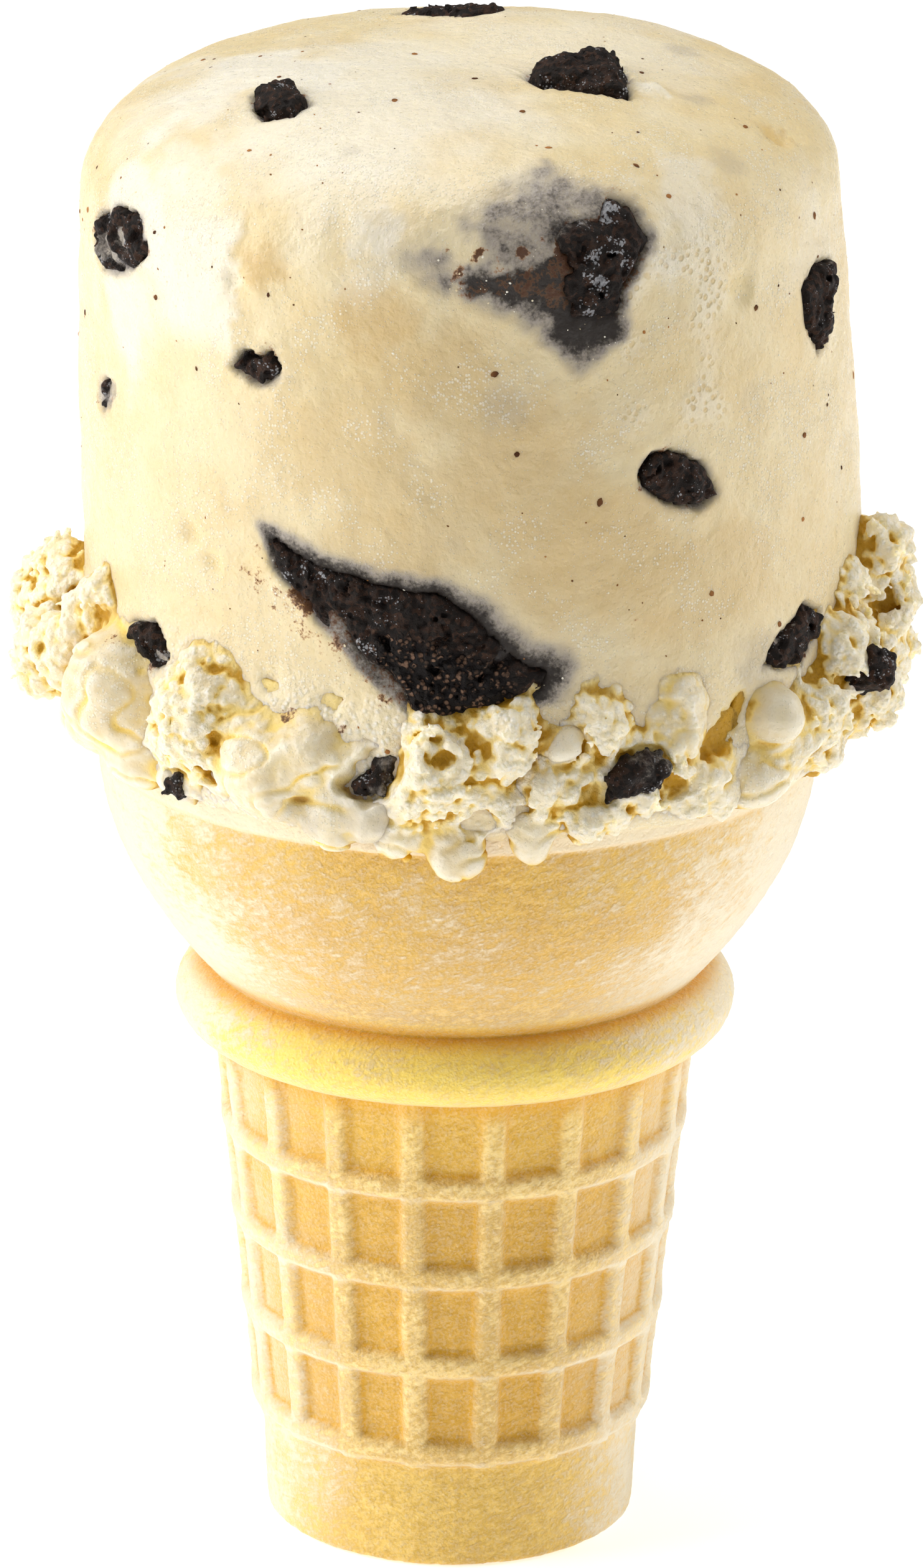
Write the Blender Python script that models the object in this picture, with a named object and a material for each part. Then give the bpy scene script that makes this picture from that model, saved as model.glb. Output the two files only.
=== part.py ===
"""A flat-bottomed wafer cup with one tall drum of vanilla ice cream and dark biscuit pieces.

The cup stands on its own base. Its stem carries a waffle of raised ribs, a round
collar and a bowl. The drum of ice cream plugs the bowl, and a ragged crown of curds
was squeezed out round the drum's foot. Each biscuit piece sits in its own socket.

Units are metres, +Z is up, the front of the object faces -Y, and the origin is the
middle of the cup's base. Azimuths run from the front, and are positive towards +X.
"""

import math
import random

import bmesh
import bpy
from mathutils import Vector, noise
from mathutils.bvhtree import BVHTree

MM = 0.001
GAP = 0.3 * MM                      # clearance between two pieces that touch

# Wafer cup: base band, stem and waffle
BASE_FILLET = 0.8 * MM
BAND_RADIUS = 14.7 * MM             # of the plain band, at the floor
BAND_TAPER = 0.045
BAND_TOP = 8.9 * MM
STEM_RADIUS = 14.85 * MM            # of the ribs' crests, at the floor
STEM_TAPER = 0.1055
PANEL_DEPTH = 0.75 * MM
RIB_COUNT = 18                      # upright ribs
RIB_CREST = 1.3 * MM                # width of a rib's crest
RIB_FOOT = 2.1 * MM                 # width of a rib where it meets the panels
HOOP_COUNT = 4                      # level ribs
HOOP_FIRST = 10.0 * MM              # height of the lowest one's middle
HOOP_PITCH = 7.82 * MM
HOOP_PROUD = 0.2 * MM               # how far a level rib stands over the upright ones
HOOP_CREST = 1.3 * MM
HOOP_FOOT = 2.3 * MM

# Wafer cup: collar, bowl and lip
COLLAR_LOW = 41.0 * MM
COLLAR_RADIUS = 22.2 * MM
COLLAR_ROUND = 1.34                 # power of the sine that the collar's bulge follows
NECK_HEIGHT = 46.8 * MM
NECK_RADIUS = 19.55 * MM
BOWL_HEIGHT = 64.8 * MM             # where the pale lip begins
BOWL_RADIUS = 28.3 * MM
BOWL_POWER = 1.9
LIP_RADIUS = 28.5 * MM
LIP_TOP = 66.8 * MM
WALL = 2.0 * MM
BOWL_FLOOR = 49.0 * MM
CUP_COLUMNS = 2 * RIB_COUNT
INNER_STEPS = 4

# Ice cream: the drum
DRUM_X = 1.0 * MM                   # the drum stands a little to the right of the cup's axis,
DRUM_Y = 0.5 * MM
DRUM_LEAN = -0.051                  # and leans to the left above its foot
DRUM_FOOT = 83.0 * MM               # height at which the lean starts
DRUM_TOP = 120.4 * MM
DRUM_FOOT_RADIUS = 31.1 * MM
DRUM_SHOULDER_RADIUS = 30.2 * MM
DRUM_OVAL = 0.025                   # wider from front to back than from side to side
SHOULDER_HEIGHT = 107.8 * MM
SHOULDER_RIGHT = 1.9 * MM           # the right shoulder is higher and sharper
SHOULDER_BACK = -0.5 * MM
DOME_POWER = 3.1
SHOULDER_POWER = 3.2
SHOULDER_POWER_RIGHT = 1.2
SHOULDER_POWER_BACK = -0.6
TOP_TILT = -0.047
DRUM_COLUMNS = 42
APRON = 0.6 * MM                    # how far the foot flares under the crown
WALL_STEPS = 4
TOP_STEPS = 7
PLUG_STEPS = 3

# Ice cream: the crown of curds round the drum's foot. Each lump of the front is
# (azimuth in degrees, height, distance from the axis, radius, height over width), in mm.
CROWN_FRONT = [
    (-91, 78.7, 32.2, 1.8, 1.1), (-94, 75.2, 32.9, 2.9, 1.2), (-84, 72.6, 32.9, 2.9, 1.2),
    (-76, 74.0, 31.6, 3.0, 1.0), (-67, 80.9, 31.0, 1.7, 1.0), (-60, 73.6, 30.6, 4.6, 1.1),
    (-50, 70.4, 29.8, 3.2, 1.0), (-40, 74.6, 31.2, 3.5, 1.3), (-42, 69.8, 30.2, 2.4, 1.0),
    (-28, 71.6, 31.3, 3.9, 1.1), (-19, 73.0, 31.2, 3.4, 1.1), (-18, 68.6, 30.8, 2.8, 1.0),
    (-11, 67.9, 30.6, 2.4, 1.3), (-3, 72.8, 32.3, 3.2, 1.2), (-5, 69.6, 32.0, 2.3, 1.0),
    (6, 75.2, 32.2, 2.4, 1.2), (0, 66.9, 30.7, 2.2, 1.3), (12, 71.4, 31.8, 2.3, 1.0),
    (14, 75.0, 32.4, 1.7, 0.8), (19, 76.0, 32.0, 2.2, 1.0), (10, 67.8, 30.8, 1.7, 1.3),
    (18, 69.2, 31.0, 2.6, 0.8), (27, 71.6, 30.9, 3.0, 1.2), (34, 70.4, 30.9, 2.6, 1.0),
    (31, 75.6, 31.6, 2.2, 1.4), (46, 69.4, 30.6, 3.2, 0.8), (48, 73.8, 32.3, 2.4, 1.0),
    (58, 72.6, 31.4, 3.1, 1.0), (66, 76.2, 32.2, 3.0, 1.2), (74, 71.6, 32.7, 2.6, 1.2),
    (84, 77.4, 32.6, 3.0, 1.2), (80, 81.8, 32.6, 2.3, 1.1), (86, 72.4, 33.0, 2.4, 1.2),
]
CROWN_BACK_COUNT = 18               # lumps of the back half, spread by a rule
CROWN_BACK_HEIGHTS = (69.8, 74.6)
CROWN_BACK_DISTANCE = 31.4
CROWN_BACK_RADII = (2.7, 3.8)
CURD_ROUGHNESS = 0.2                # of a lump's radius
CURD_SEED = 7
FLAT_ENOUGH = math.radians(4.0)     # faces that turn less than this are one face

# Biscuit pieces. Where: ("wall", azimuth in degrees, height), ("top", x, y) or
# ("crown", azimuth, height). Then width, height, turn in degrees, depth in the ice
# cream and how far it stands out, in mm, and the seed of its broken outline.
BISCUIT_SIDES = 8
CROWN_TILT = 0.35                   # pieces in the crown face a little upwards
SOCKET_RISE = 2.5 * MM
BISCUIT_PIECES = {
    "biscuit_crown_right": (("crown", 66, 75.6), 3.4, 4.2, 28, 2.4, 0.9, 11),
    "biscuit_crown_left": (("crown", -43.5, 68.6), 2.3, 2.3, 0, 1.8, 0.5, 14),
    "biscuit_back_high": (("wall", 168, 108.0), 9.0, 6.4, -18, 3.0, 0.4, 15),
    "biscuit_back_left": (("wall", -122, 100.5), 6.4, 4.6, 30, 2.8, 0.5, 16),
    "biscuit_back_right": (("wall", 118, 92.5), 7.6, 5.6, -34, 3.0, 0.5, 17),
    "biscuit_back_middle": (("wall", -164, 90.0), 4.6, 3.8, 10, 2.4, 0.4, 18),
    "biscuit_back_low": (("wall", 146, 80.6), 8.6, 5.0, 16, 3.0, 0.6, 19),
    "biscuit_back_small": (("wall", -100, 88.4), 3.2, 3.6, 0, 2.0, 0.4, 20),
    "biscuit_crown_back": (("crown", -140, 73.0), 4.4, 3.8, 12, 2.6, 0.8, 21),
    "biscuit_back_corner": (("wall", -148, 109.5), 5.0, 3.8, 20, 2.4, 0.5, 22),
}
# The slabs and the pieces that show well in front have outlines of their own, in mm right
# and up from their middle.
BISCUIT_SLABS = {
    "biscuit_upper_slab": (
        ("wall", 8.0, 110.4),
        [(-9.4, 2.2), (-6.3, 4.9), (-1.9, 6.6), (2.6, 7.6), (8.0, 5.2), (9.3, 2.8), (7.0, -0.8),
         (6.8, -4.0), (3.6, -6.8), (1.6, -4.4), (-1.5, -2.3), (-8.0, 0.2)],
        3.2, 0.35),
    "biscuit_lower_slab": (
        ("wall", -8.8, 83.4),
        [(-11.3, 6.8), (-7.0, 5.1), (-2.7, 4.3), (2.2, 3.7), (4.6, 2.3), (8.4, -1.6), (11.0, -2.7),
         (10.2, -4.3), (6.6, -5.6), (1.8, -6.7), (-1.6, -5.0), (-4.8, -2.0), (-7.4, 1.0),
         (-10.6, 4.2)],
        3.6, 0.5),
    "biscuit_top_back": (
        ("top", -0.9, 13.0),
        [(-4.6, 0.4), (-2.3, 3.0), (1.8, 3.0), (4.4, 1.0), (3.1, -2.2), (1.0, -2.9), (-0.4, -1.9),
         (-3.2, -0.6)],
        2.6, 0.4),
    "biscuit_top_right": (
        ("top", 8.8, -6.0),
        [(-4.2, -0.6), (-2.6, 2.2), (0.8, 4.8), (2.8, 4.0), (3.6, 0.2), (3.8, -4.2), (0.6, -3.8), (-3.4, -3.0)],
        2.8, 1.4),
    "biscuit_top_left": (
        ("top", -14.0, -12.8),
        [(-1.6, 3.0), (1.0, 3.0), (1.7, 0.8), (2.4, -1.2), (1.3, -2.9), (-1.2, -2.8), (-1.8, -0.4), (-1.9, 1.9)],
        2.4, 1.2),
    "biscuit_left_upper": (
        ("wall", -60.5, 109.6),
        [(-2.8, 1.3), (-0.5, 2.4), (3.2, 2.5), (4.6, -0.2), (1.2, -2.6), (-2.5, -3.2), (-4.2, -1.8), (-3.9, 0.0)],
        2.6, 0.4),
    "biscuit_right_side": (
        ("wall", 64.5, 104.2),
        [(0.0, 3.2), (3.4, 2.6), (2.8, 0.2), (1.6, -0.6), (1.0, -3.0), (-1.2, -3.6), (-3.4, -0.6), (-3.0, 2.0)],
        3.0, 0.8),
    "biscuit_left_middle": (
        ("wall", -30.8, 103.0),
        [(-2.3, -0.3), (-1.2, 1.1), (0.0, 0.9), (1.0, 1.6), (2.1, -0.4), (1.5, -0.9), (0.2, -1.2), (-1.3, -0.9)],
        2.0, 0.4),
    "biscuit_left_edge": (
        ("wall", -66, 96.4),
        [(-2.2, 0.4), (0.3, 1.4), (1.8, 1.2), (2.0, 0.4), (0.9, -0.7), (-0.2, -1.6), (-1.4, -1.3), (-2.1, -0.6)],
        2.0, 0.3),
    "biscuit_right_round": (
        ("wall", 29.2, 94.6),
        [(-2.8, 1.1), (-1.8, 2.1), (-0.4, 2.4), (2.7, 0.8), (4.1, -2.0), (2.2, -2.6), (-0.8, -1.8), (-2.8, -0.3)],
        3.0, 0.6),
    "biscuit_left_low": (
        ("wall", -53, 78.4),
        [(-3.3, 0.2), (-1.7, 1.4), (1.1, 1.8), (2.4, 0.6), (3.0, -0.5), (1.4, -2.0), (-0.7, -1.2), (-3.0, -1.0)],
        2.6, 0.9),
    "biscuit_right_low": (
        ("wall", 52.7, 79.3),
        [(1.3, 2.6), (3.8, 1.2), (3.2, -0.9), (0.8, -2.4), (-1.4, -2.0), (-4.1, -1.3), (-2.5, 0.6), (-0.2, 1.5)],
        3.0, 0.8),
    "biscuit_crown_front": (
        ("crown", 22.4, 72.5),
        [(-2.6, 0.3), (-0.8, 1.4), (0.7, 1.8), (1.8, 1.6), (2.8, 0.0), (1.6, -1.6), (-0.9, -1.7), (-2.5, -2.0)],
        2.8, 1.0),
    "biscuit_crown_centre": (
        ("crown", -12, 72.3),
        [(-2.3, -1.2), (-1.2, 0.1), (-0.3, 1.4), (0.9, 2.0), (1.6, 1.3), (1.3, -0.2), (0.7, -1.5), (-0.6, -1.9)],
        2.6, 0.8),
}

WAFER_COLOUR = (0.80, 0.54, 0.20, 1.0)
CREAM_COLOUR = (0.86, 0.74, 0.48, 1.0)
BISCUIT_COLOUR = (0.035, 0.022, 0.016, 1.0)


def clear_scene():
    """Remove the objects that a new file holds."""
    for thing in list(bpy.data.objects):
        bpy.data.objects.remove(thing, do_unlink=True)


def make_material(name, colour, roughness):
    """A plain surface with one colour."""
    surface = bpy.data.materials.new(name)
    surface.use_nodes = True
    shader = surface.node_tree.nodes["Principled BSDF"]
    shader.inputs["Base Color"].default_value = colour
    shader.inputs["Roughness"].default_value = roughness
    shader.inputs["Metallic"].default_value = 0.0
    surface.diffuse_color = colour
    return surface


def make_object(name, shape, surface=None):
    """Turn a bmesh into a linked object."""
    mesh = bpy.data.meshes.new(name)
    bmesh.ops.recalc_face_normals(shape, faces=shape.faces)
    shape.to_mesh(mesh)
    shape.free()
    thing = bpy.data.objects.new(name, mesh)
    bpy.context.collection.objects.link(thing)
    if surface is not None:
        mesh.materials.append(surface)
    return thing


def around(azimuth, radius, height, middle_x=0.0, middle_y=0.0):
    """A point at an azimuth from the front."""
    return Vector((middle_x + radius * math.sin(azimuth), middle_y - radius * math.cos(azimuth), height))


def add_ring(shape, points):
    return [shape.verts.new(point) for point in points]


def join_rings(shape, lower, upper):
    """Quads between two rings of the same count."""
    count = len(lower)
    for index in range(count):
        after = (index + 1) % count
        shape.faces.new((lower[index], lower[after], upper[after], upper[index]))


def join_double_ring(shape, lower, upper):
    """A triangle and a quad for each point of the upper ring, which has half the points."""
    for index, point in enumerate(upper):
        first = lower[2 * index]
        second = lower[2 * index + 1]
        third = lower[(2 * index + 2) % len(lower)]
        shape.faces.new((first, second, point))
        shape.faces.new((second, third, upper[(index + 1) % len(upper)], point))


def stack_rings(shape, rings, cap_low=True, cap_high=True):
    """Join a list of rings, and close its two ends."""
    made = [add_ring(shape, ring) for ring in rings]
    for lower, upper in zip(made, made[1:]):
        join_rings(shape, lower, upper)
    if cap_low:
        shape.faces.new(list(reversed(made[0])))
    if cap_high:
        shape.faces.new(made[-1])
    return made


# ---------------------------------------------------------------- wafer cup

def crest_radius(height):
    """Radius of the stem over its upright ribs."""
    return STEM_RADIUS + STEM_TAPER * height


def bowl_radius(height):
    """Outer radius of the bowl."""
    share = min(max((height - NECK_HEIGHT) / (BOWL_HEIGHT - NECK_HEIGHT), 0.0), 1.0)
    swell = 1.0 - (1.0 - share) ** BOWL_POWER
    return NECK_RADIUS + (BOWL_RADIUS - NECK_RADIUS) * swell


def stem_ring(height, radius, panel_depth):
    """One ring of the stem: each rib has two points on its crest and two at its foot."""
    points = []
    for rib in range(RIB_COUNT):
        middle = 2 * math.pi * (rib + 0.5) / RIB_COUNT
        crest = 0.5 * RIB_CREST / radius
        foot = 0.5 * RIB_FOOT / radius
        pitch = 2 * math.pi / RIB_COUNT
        points.append(around(middle - crest, radius, height))
        points.append(around(middle + crest, radius, height))
        points.append(around(middle + foot, radius - panel_depth, height))
        points.append(around(middle + pitch - foot, radius - panel_depth, height))
    return points


def cup_ring(height, radius):
    """One round ring of the collar, bowl or lip."""
    return [around(2 * math.pi * (index + 0.5) / CUP_COLUMNS, radius, height) for index in range(CUP_COLUMNS)]


def stem_rings():
    """Rings from the floor to the collar's underside."""
    rings = []
    for step in range(4):
        turn = 0.5 * math.pi * step / 3
        height = BASE_FILLET * (1.0 - math.cos(turn))
        radius = BAND_RADIUS - BASE_FILLET * (1.0 - math.sin(turn)) + BAND_TAPER * height
        rings.append(stem_ring(height, radius, 0.0))
    rings.append(stem_ring(BAND_TOP - 0.1 * MM, BAND_RADIUS + BAND_TAPER * BAND_TOP, 0.0))
    for hoop in range(HOOP_COUNT):
        middle = HOOP_FIRST + hoop * HOOP_PITCH
        if hoop > 0:
            low = middle - 0.5 * HOOP_FOOT
            rings.append(stem_ring(low, crest_radius(low), PANEL_DEPTH))
        for height in (middle - 0.5 * HOOP_CREST, middle + 0.5 * HOOP_CREST):
            rings.append(stem_ring(height, crest_radius(height) + HOOP_PROUD, 0.0))
        high = middle + 0.5 * HOOP_FOOT
        rings.append(stem_ring(high, crest_radius(high), PANEL_DEPTH))
    rings.append(stem_ring(COLLAR_LOW, crest_radius(COLLAR_LOW), PANEL_DEPTH))
    return rings


def collar_rings(steps=6):
    """The rounded collar, from its underside to the neck."""
    rings = []
    low_radius = crest_radius(COLLAR_LOW)
    half = 0.5 * (NECK_HEIGHT - COLLAR_LOW)
    for step in range(1, steps + 1):
        turn = math.pi * step / (steps + 1)
        height = COLLAR_LOW + half * (1.0 - math.cos(turn))
        share = (height - COLLAR_LOW) / (NECK_HEIGHT - COLLAR_LOW)
        plain = low_radius + (NECK_RADIUS - low_radius) * share
        radius = plain + (COLLAR_RADIUS - plain) * math.sin(turn) ** COLLAR_ROUND
        rings.append(cup_ring(height, radius))
    return rings


def bowl_rings(steps=6):
    """The bowl's outside, its lip, and its inside down to the floor."""
    rings = []
    for step in range(steps + 1):
        height = NECK_HEIGHT + (BOWL_HEIGHT - NECK_HEIGHT) * step / steps
        rings.append(cup_ring(height, bowl_radius(height)))
    rings.append(cup_ring(BOWL_HEIGHT + 0.4 * MM, LIP_RADIUS))
    rings.append(cup_ring(LIP_TOP - 0.4 * MM, LIP_RADIUS))
    rings.append(cup_ring(LIP_TOP, LIP_RADIUS - 0.4 * MM))
    rings.append(cup_ring(LIP_TOP, LIP_RADIUS - WALL))
    for step in range(INNER_STEPS, -1, -1):
        height = BOWL_FLOOR + (BOWL_HEIGHT - BOWL_FLOOR) * step / INNER_STEPS
        rings.append(cup_ring(height, bowl_radius(height) - WALL))
    return rings


def make_cup(surface):
    """The whole wafer cup as one solid."""
    shape = bmesh.new()
    stem = [add_ring(shape, ring) for ring in stem_rings()]
    for lower, upper in zip(stem, stem[1:]):
        join_rings(shape, lower, upper)
    shape.faces.new(list(reversed(stem[0])))
    upper_part = [add_ring(shape, ring) for ring in collar_rings() + bowl_rings()]
    join_double_ring(shape, stem[-1], upper_part[0])
    for lower, upper in zip(upper_part, upper_part[1:]):
        join_rings(shape, lower, upper)
    shape.faces.new(upper_part[-1])
    cup = make_object("wafer_cup", shape, surface)
    cup.data.shade_smooth()
    cup.data.set_sharp_from_angle(angle=math.radians(30))
    return cup


# ---------------------------------------------------------------- ice cream

def drum_radius_factor(azimuth):
    return 1.0 + DRUM_OVAL * math.cos(2 * azimuth)


def drum_point(azimuth, radius, height):
    """A point of the drum, leaning above its foot."""
    lean = DRUM_LEAN * max(height - DRUM_FOOT, 0.0)
    place = around(azimuth, radius * drum_radius_factor(azimuth), height, DRUM_X, DRUM_Y)
    rise = min(max((height - SHOULDER_HEIGHT) / (DRUM_TOP - SHOULDER_HEIGHT), 0.0), 1.0)
    place.z += TOP_TILT * (place.x - DRUM_X) * rise
    place.x += lean
    return place


def shoulder_height(azimuth):
    return SHOULDER_HEIGHT + SHOULDER_RIGHT * math.sin(azimuth) - SHOULDER_BACK * math.cos(azimuth)


def wall_point(azimuth, share):
    """On the drum's wall: share 0 at the foot, 1 at the shoulder."""
    height = DRUM_FOOT + (shoulder_height(azimuth) - DRUM_FOOT) * share
    radius = DRUM_FOOT_RADIUS + (DRUM_SHOULDER_RADIUS - DRUM_FOOT_RADIUS) * share ** 2.2
    return drum_point(azimuth, radius, height)


def dome_point(azimuth, share):
    """On the drum's top: share 0 at the shoulder, 1 in the middle."""
    turn = 0.5 * math.pi * share
    power = (SHOULDER_POWER + SHOULDER_POWER_RIGHT * math.sin(azimuth)
             - SHOULDER_POWER_BACK * math.cos(azimuth))
    low = shoulder_height(azimuth)
    height = low + (DRUM_TOP - low) * math.sin(turn) ** (2.0 / DOME_POWER)
    radius = DRUM_SHOULDER_RADIUS * max(math.cos(turn), 0.0) ** (2.0 / power)
    return drum_point(azimuth, radius, height)


def drum_ring(maker, share):
    return [maker(2 * math.pi * index / DRUM_COLUMNS, share) for index in range(DRUM_COLUMNS)]


def plug_ring(height, inset):
    """A ring of the plug that fills the bowl."""
    radius = bowl_radius(height) - WALL - inset
    return [around(2 * math.pi * index / DRUM_COLUMNS, radius, height) for index in range(DRUM_COLUMNS)]


def make_drum():
    """The drum and the plug under it, without its crown."""
    shape = bmesh.new()
    rings = [plug_ring(BOWL_FLOOR + GAP, GAP)]
    for step in range(1, PLUG_STEPS + 1):
        height = BOWL_FLOOR + (LIP_TOP - BOWL_FLOOR) * step / PLUG_STEPS
        rings.append(plug_ring(height, GAP + 0.1 * MM))
    foot_low = LIP_TOP + 0.1 * MM
    rings.append([drum_point(2 * math.pi * index / DRUM_COLUMNS, BOWL_RADIUS + 0.9 * MM, foot_low)
                  for index in range(DRUM_COLUMNS)])
    for share in (0.1, 0.5):
        height = foot_low + (DRUM_FOOT - foot_low) * share
        radius = DRUM_FOOT_RADIUS + APRON * (1.0 - share)
        rings.append([drum_point(2 * math.pi * index / DRUM_COLUMNS, radius, height)
                      for index in range(DRUM_COLUMNS)])
    rings += [drum_ring(wall_point, step / WALL_STEPS) for step in range(WALL_STEPS)]
    rings += [drum_ring(dome_point, (step / TOP_STEPS) ** 1.15) for step in range(TOP_STEPS)]
    made = stack_rings(shape, rings, cap_high=False)
    middle = shape.verts.new(dome_point(0.0, 1.0))
    last = made[-1]
    for index, point in enumerate(last):
        shape.faces.new((point, last[(index + 1) % len(last)], middle))
    return make_object("ice_cream", shape)


def crown_lumps():
    """All lumps of the crown: those of the front, and the back half by a rule."""
    lumps = [(math.radians(a), z * MM, d * MM, r * MM, tall) for a, z, d, r, tall in CROWN_FRONT]
    draw = random.Random(CURD_SEED)
    for index in range(CROWN_BACK_COUNT):
        azimuth = math.radians(96 + 168 * (index + 0.5) / CROWN_BACK_COUNT + draw.uniform(-3, 3))
        low, high = CROWN_BACK_HEIGHTS
        height = (low if index % 2 else high) + draw.uniform(-1.2, 1.2)
        distance = CROWN_BACK_DISTANCE + draw.uniform(-0.6, 0.9)
        radius = draw.uniform(*CROWN_BACK_RADII)
        lumps.append((azimuth, height * MM, distance * MM, radius * MM, draw.uniform(0.9, 1.15)))
    return lumps


def make_lump(azimuth, height, distance, radius, tall, seed):
    """One curd: a small ball, taller than wide, with a rough surface."""
    shape = bmesh.new()
    bmesh.ops.create_icosphere(shape, subdivisions=2, radius=1.0)
    middle = around(azimuth, distance, height, 0.5 * DRUM_X, 0.5 * DRUM_Y)
    offset = Vector((seed * 3.7, seed * 1.3, seed * 2.9))
    for vertex in shape.verts:
        swell = 1.0 + CURD_ROUGHNESS * noise.noise(vertex.co * 1.6 + offset) * 2.0
        grown = vertex.co * (radius * swell)
        grown.z *= tall
        vertex.co = middle + grown
    return make_object("lump", shape)


# ---------------------------------------------------------------- biscuit pieces

def broken_outline(width, height, turn, seed):
    """An uneven outline with flat breaks, in metres right and up from its middle."""
    draw = random.Random(seed)
    points = []
    for index in range(BISCUIT_SIDES):
        angle = 2 * math.pi * (index + draw.uniform(-0.25, 0.25)) / BISCUIT_SIDES
        reach = draw.uniform(0.84, 1.08)
        x = 0.5 * width * reach * math.cos(angle)
        y = 0.5 * height * reach * math.sin(angle)
        points.append((x * math.cos(turn) - y * math.sin(turn), x * math.sin(turn) + y * math.cos(turn)))
    return points


def grow_outline(outline, amount):
    """Move each edge of an outline outwards by an amount."""
    grown = []
    count = len(outline)
    for index in range(count):
        before = Vector(outline[index - 1])
        here = Vector(outline[index])
        after = Vector(outline[(index + 1) % count])
        first = (here - before).normalized()
        second = (after - here).normalized()
        outward = Vector((first.y + second.y, -first.x - second.x)).normalized()
        slant = max(outward.dot(Vector((first.y, -first.x))), 0.5)
        grown.append(tuple(here + outward * (amount / slant)))
    return grown


def find_place(where, drum_tree):
    """The point of the ice cream where a piece sits, and the way out of it there."""
    kind, first, second = where
    if kind == "top":
        start = Vector((first * MM, second * MM, 2 * DRUM_TOP))
        point, normal, _, _ = drum_tree.ray_cast(start, Vector((0, 0, -1)))
        return point, normal
    azimuth = math.radians(first)
    out = Vector((math.sin(azimuth), -math.cos(azimuth), 0.0))
    start = Vector((DRUM_X, DRUM_Y, second * MM)) + out * 0.1
    point, normal, _, _ = drum_tree.ray_cast(start, -out)
    return point, normal


def biscuit_frame(normal):
    """Right and up along the surface, seen from outside."""
    right = Vector((0, 0, 1)).cross(normal)
    if right.length < 0.35:
        right = Vector((1, 0, 0))
    right = (right - normal * right.dot(normal)).normalized()
    return right, normal.cross(right)


def surface_height(point, normal, tree):
    """How far the ice cream lies above the piece's own plane at a point."""
    hit, _, _, _ = tree.ray_cast(point + normal * 0.02, -normal)
    return (hit - point).dot(normal) if hit is not None else 0.0


def biscuit_rings(where, outline, levels, trees, wobble=None):
    """Rings of an outline that follow the surface, but for a level bottom."""
    drum_tree, crown_tree = trees
    tree = crown_tree if where[0] == "crown" else drum_tree
    point, normal = find_place(where, tree)
    if where[0] == "crown":
        azimuth = math.radians(where[1])
        normal = Vector((math.sin(azimuth), -math.cos(azimuth), CROWN_TILT)).normalized()
    right, up = biscuit_frame(normal)
    rings = []
    for index, (lift, share) in enumerate(levels):
        flats = [point + right * (u * share) + up * (v * share) for u, v in outline]
        rises = [0.0 if where[0] == "crown" else surface_height(flat, normal, tree) for flat in flats]
        if index == 0:
            rises = [min(rises)] * len(rises)
        ring = [flat + normal * (rise + lift) for flat, rise in zip(flats, rises)]
        if wobble and index == len(levels) - 1:
            ring = [corner + normal * wobble() for corner in ring]
        rings.append(ring)
    return rings, normal


def make_biscuit(name, where, outline, depth, proud, seed, trees, surface):
    """A broken piece with a raised, uneven face."""
    draw = random.Random(100 + seed)
    levels = [(-depth, 0.78), (-0.4 * depth, 1.0), (0.25 * proud, 0.97), (proud, 0.7)]
    rings, normal = biscuit_rings(where, outline, levels, trees, lambda: draw.uniform(-0.35, 0.35) * proud)
    shape = bmesh.new()
    last = stack_rings(shape, rings, cap_high=False)[-1]
    crown = sum((corner.co for corner in last), Vector()) / len(last)
    middle = shape.verts.new(crown + normal * 0.3 * proud)
    for index, corner in enumerate(last):
        shape.faces.new((corner, last[(index + 1) % len(last)], middle))
    piece = make_object(name, shape, surface)
    piece.data.shade_flat()


def make_socket(where, outline, depth, trees):
    """What is cut from the ice cream for a piece: a gap wider and deeper, and open above."""
    wide = grow_outline(outline, GAP)
    levels = [(-depth - GAP, 0.82), (-0.4 * depth - 0.3 * GAP, 1.0), (SOCKET_RISE, 1.02)]
    rings, _ = biscuit_rings(where, wide, levels, trees)
    shape = bmesh.new()
    stack_rings(shape, rings)
    return make_object("socket", shape)


def biscuit_plans():
    """Every biscuit piece: name, where, outline, depth, how proud, seed."""
    plans = []
    for name, (where, width, height, turn, depth, proud, seed) in BISCUIT_PIECES.items():
        outline = broken_outline(width * MM, height * MM, math.radians(turn), seed)
        plans.append((name, where, outline, depth * MM, proud * MM, seed))
    for seed, (name, (where, points, depth, proud)) in enumerate(BISCUIT_SLABS.items(), start=40):
        outline = [(u * MM, v * MM) for u, v in reversed(points)]
        plans.append((name, where, outline, depth * MM, proud * MM, seed))
    return plans


# ---------------------------------------------------------------- joining and cutting

def tree_of(thing):
    """A search tree of an object's mesh."""
    shape = bmesh.new()
    shape.from_mesh(thing.data)
    tree = BVHTree.FromBMesh(shape)
    shape.free()
    return tree


def combine(thing, tools, operation):
    """Join tools to an object or cut them from it, in one Boolean, and remove them."""
    group = bpy.data.collections.new("tools")
    bpy.context.scene.collection.children.link(group)
    for tool in tools:
        bpy.context.collection.objects.unlink(tool)
        group.objects.link(tool)
    step = thing.modifiers.new("combine", "BOOLEAN")
    step.operand_type = "COLLECTION"
    step.collection = group
    step.operation = operation
    step.solver = "EXACT"
    bpy.context.view_layer.update()
    ready = thing.evaluated_get(bpy.context.evaluated_depsgraph_get())
    mesh = bpy.data.meshes.new_from_object(ready)
    thing.modifiers.remove(step)
    thing.data = mesh
    for tool in tools:
        bpy.data.objects.remove(tool, do_unlink=True)
    bpy.data.collections.remove(group)


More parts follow.
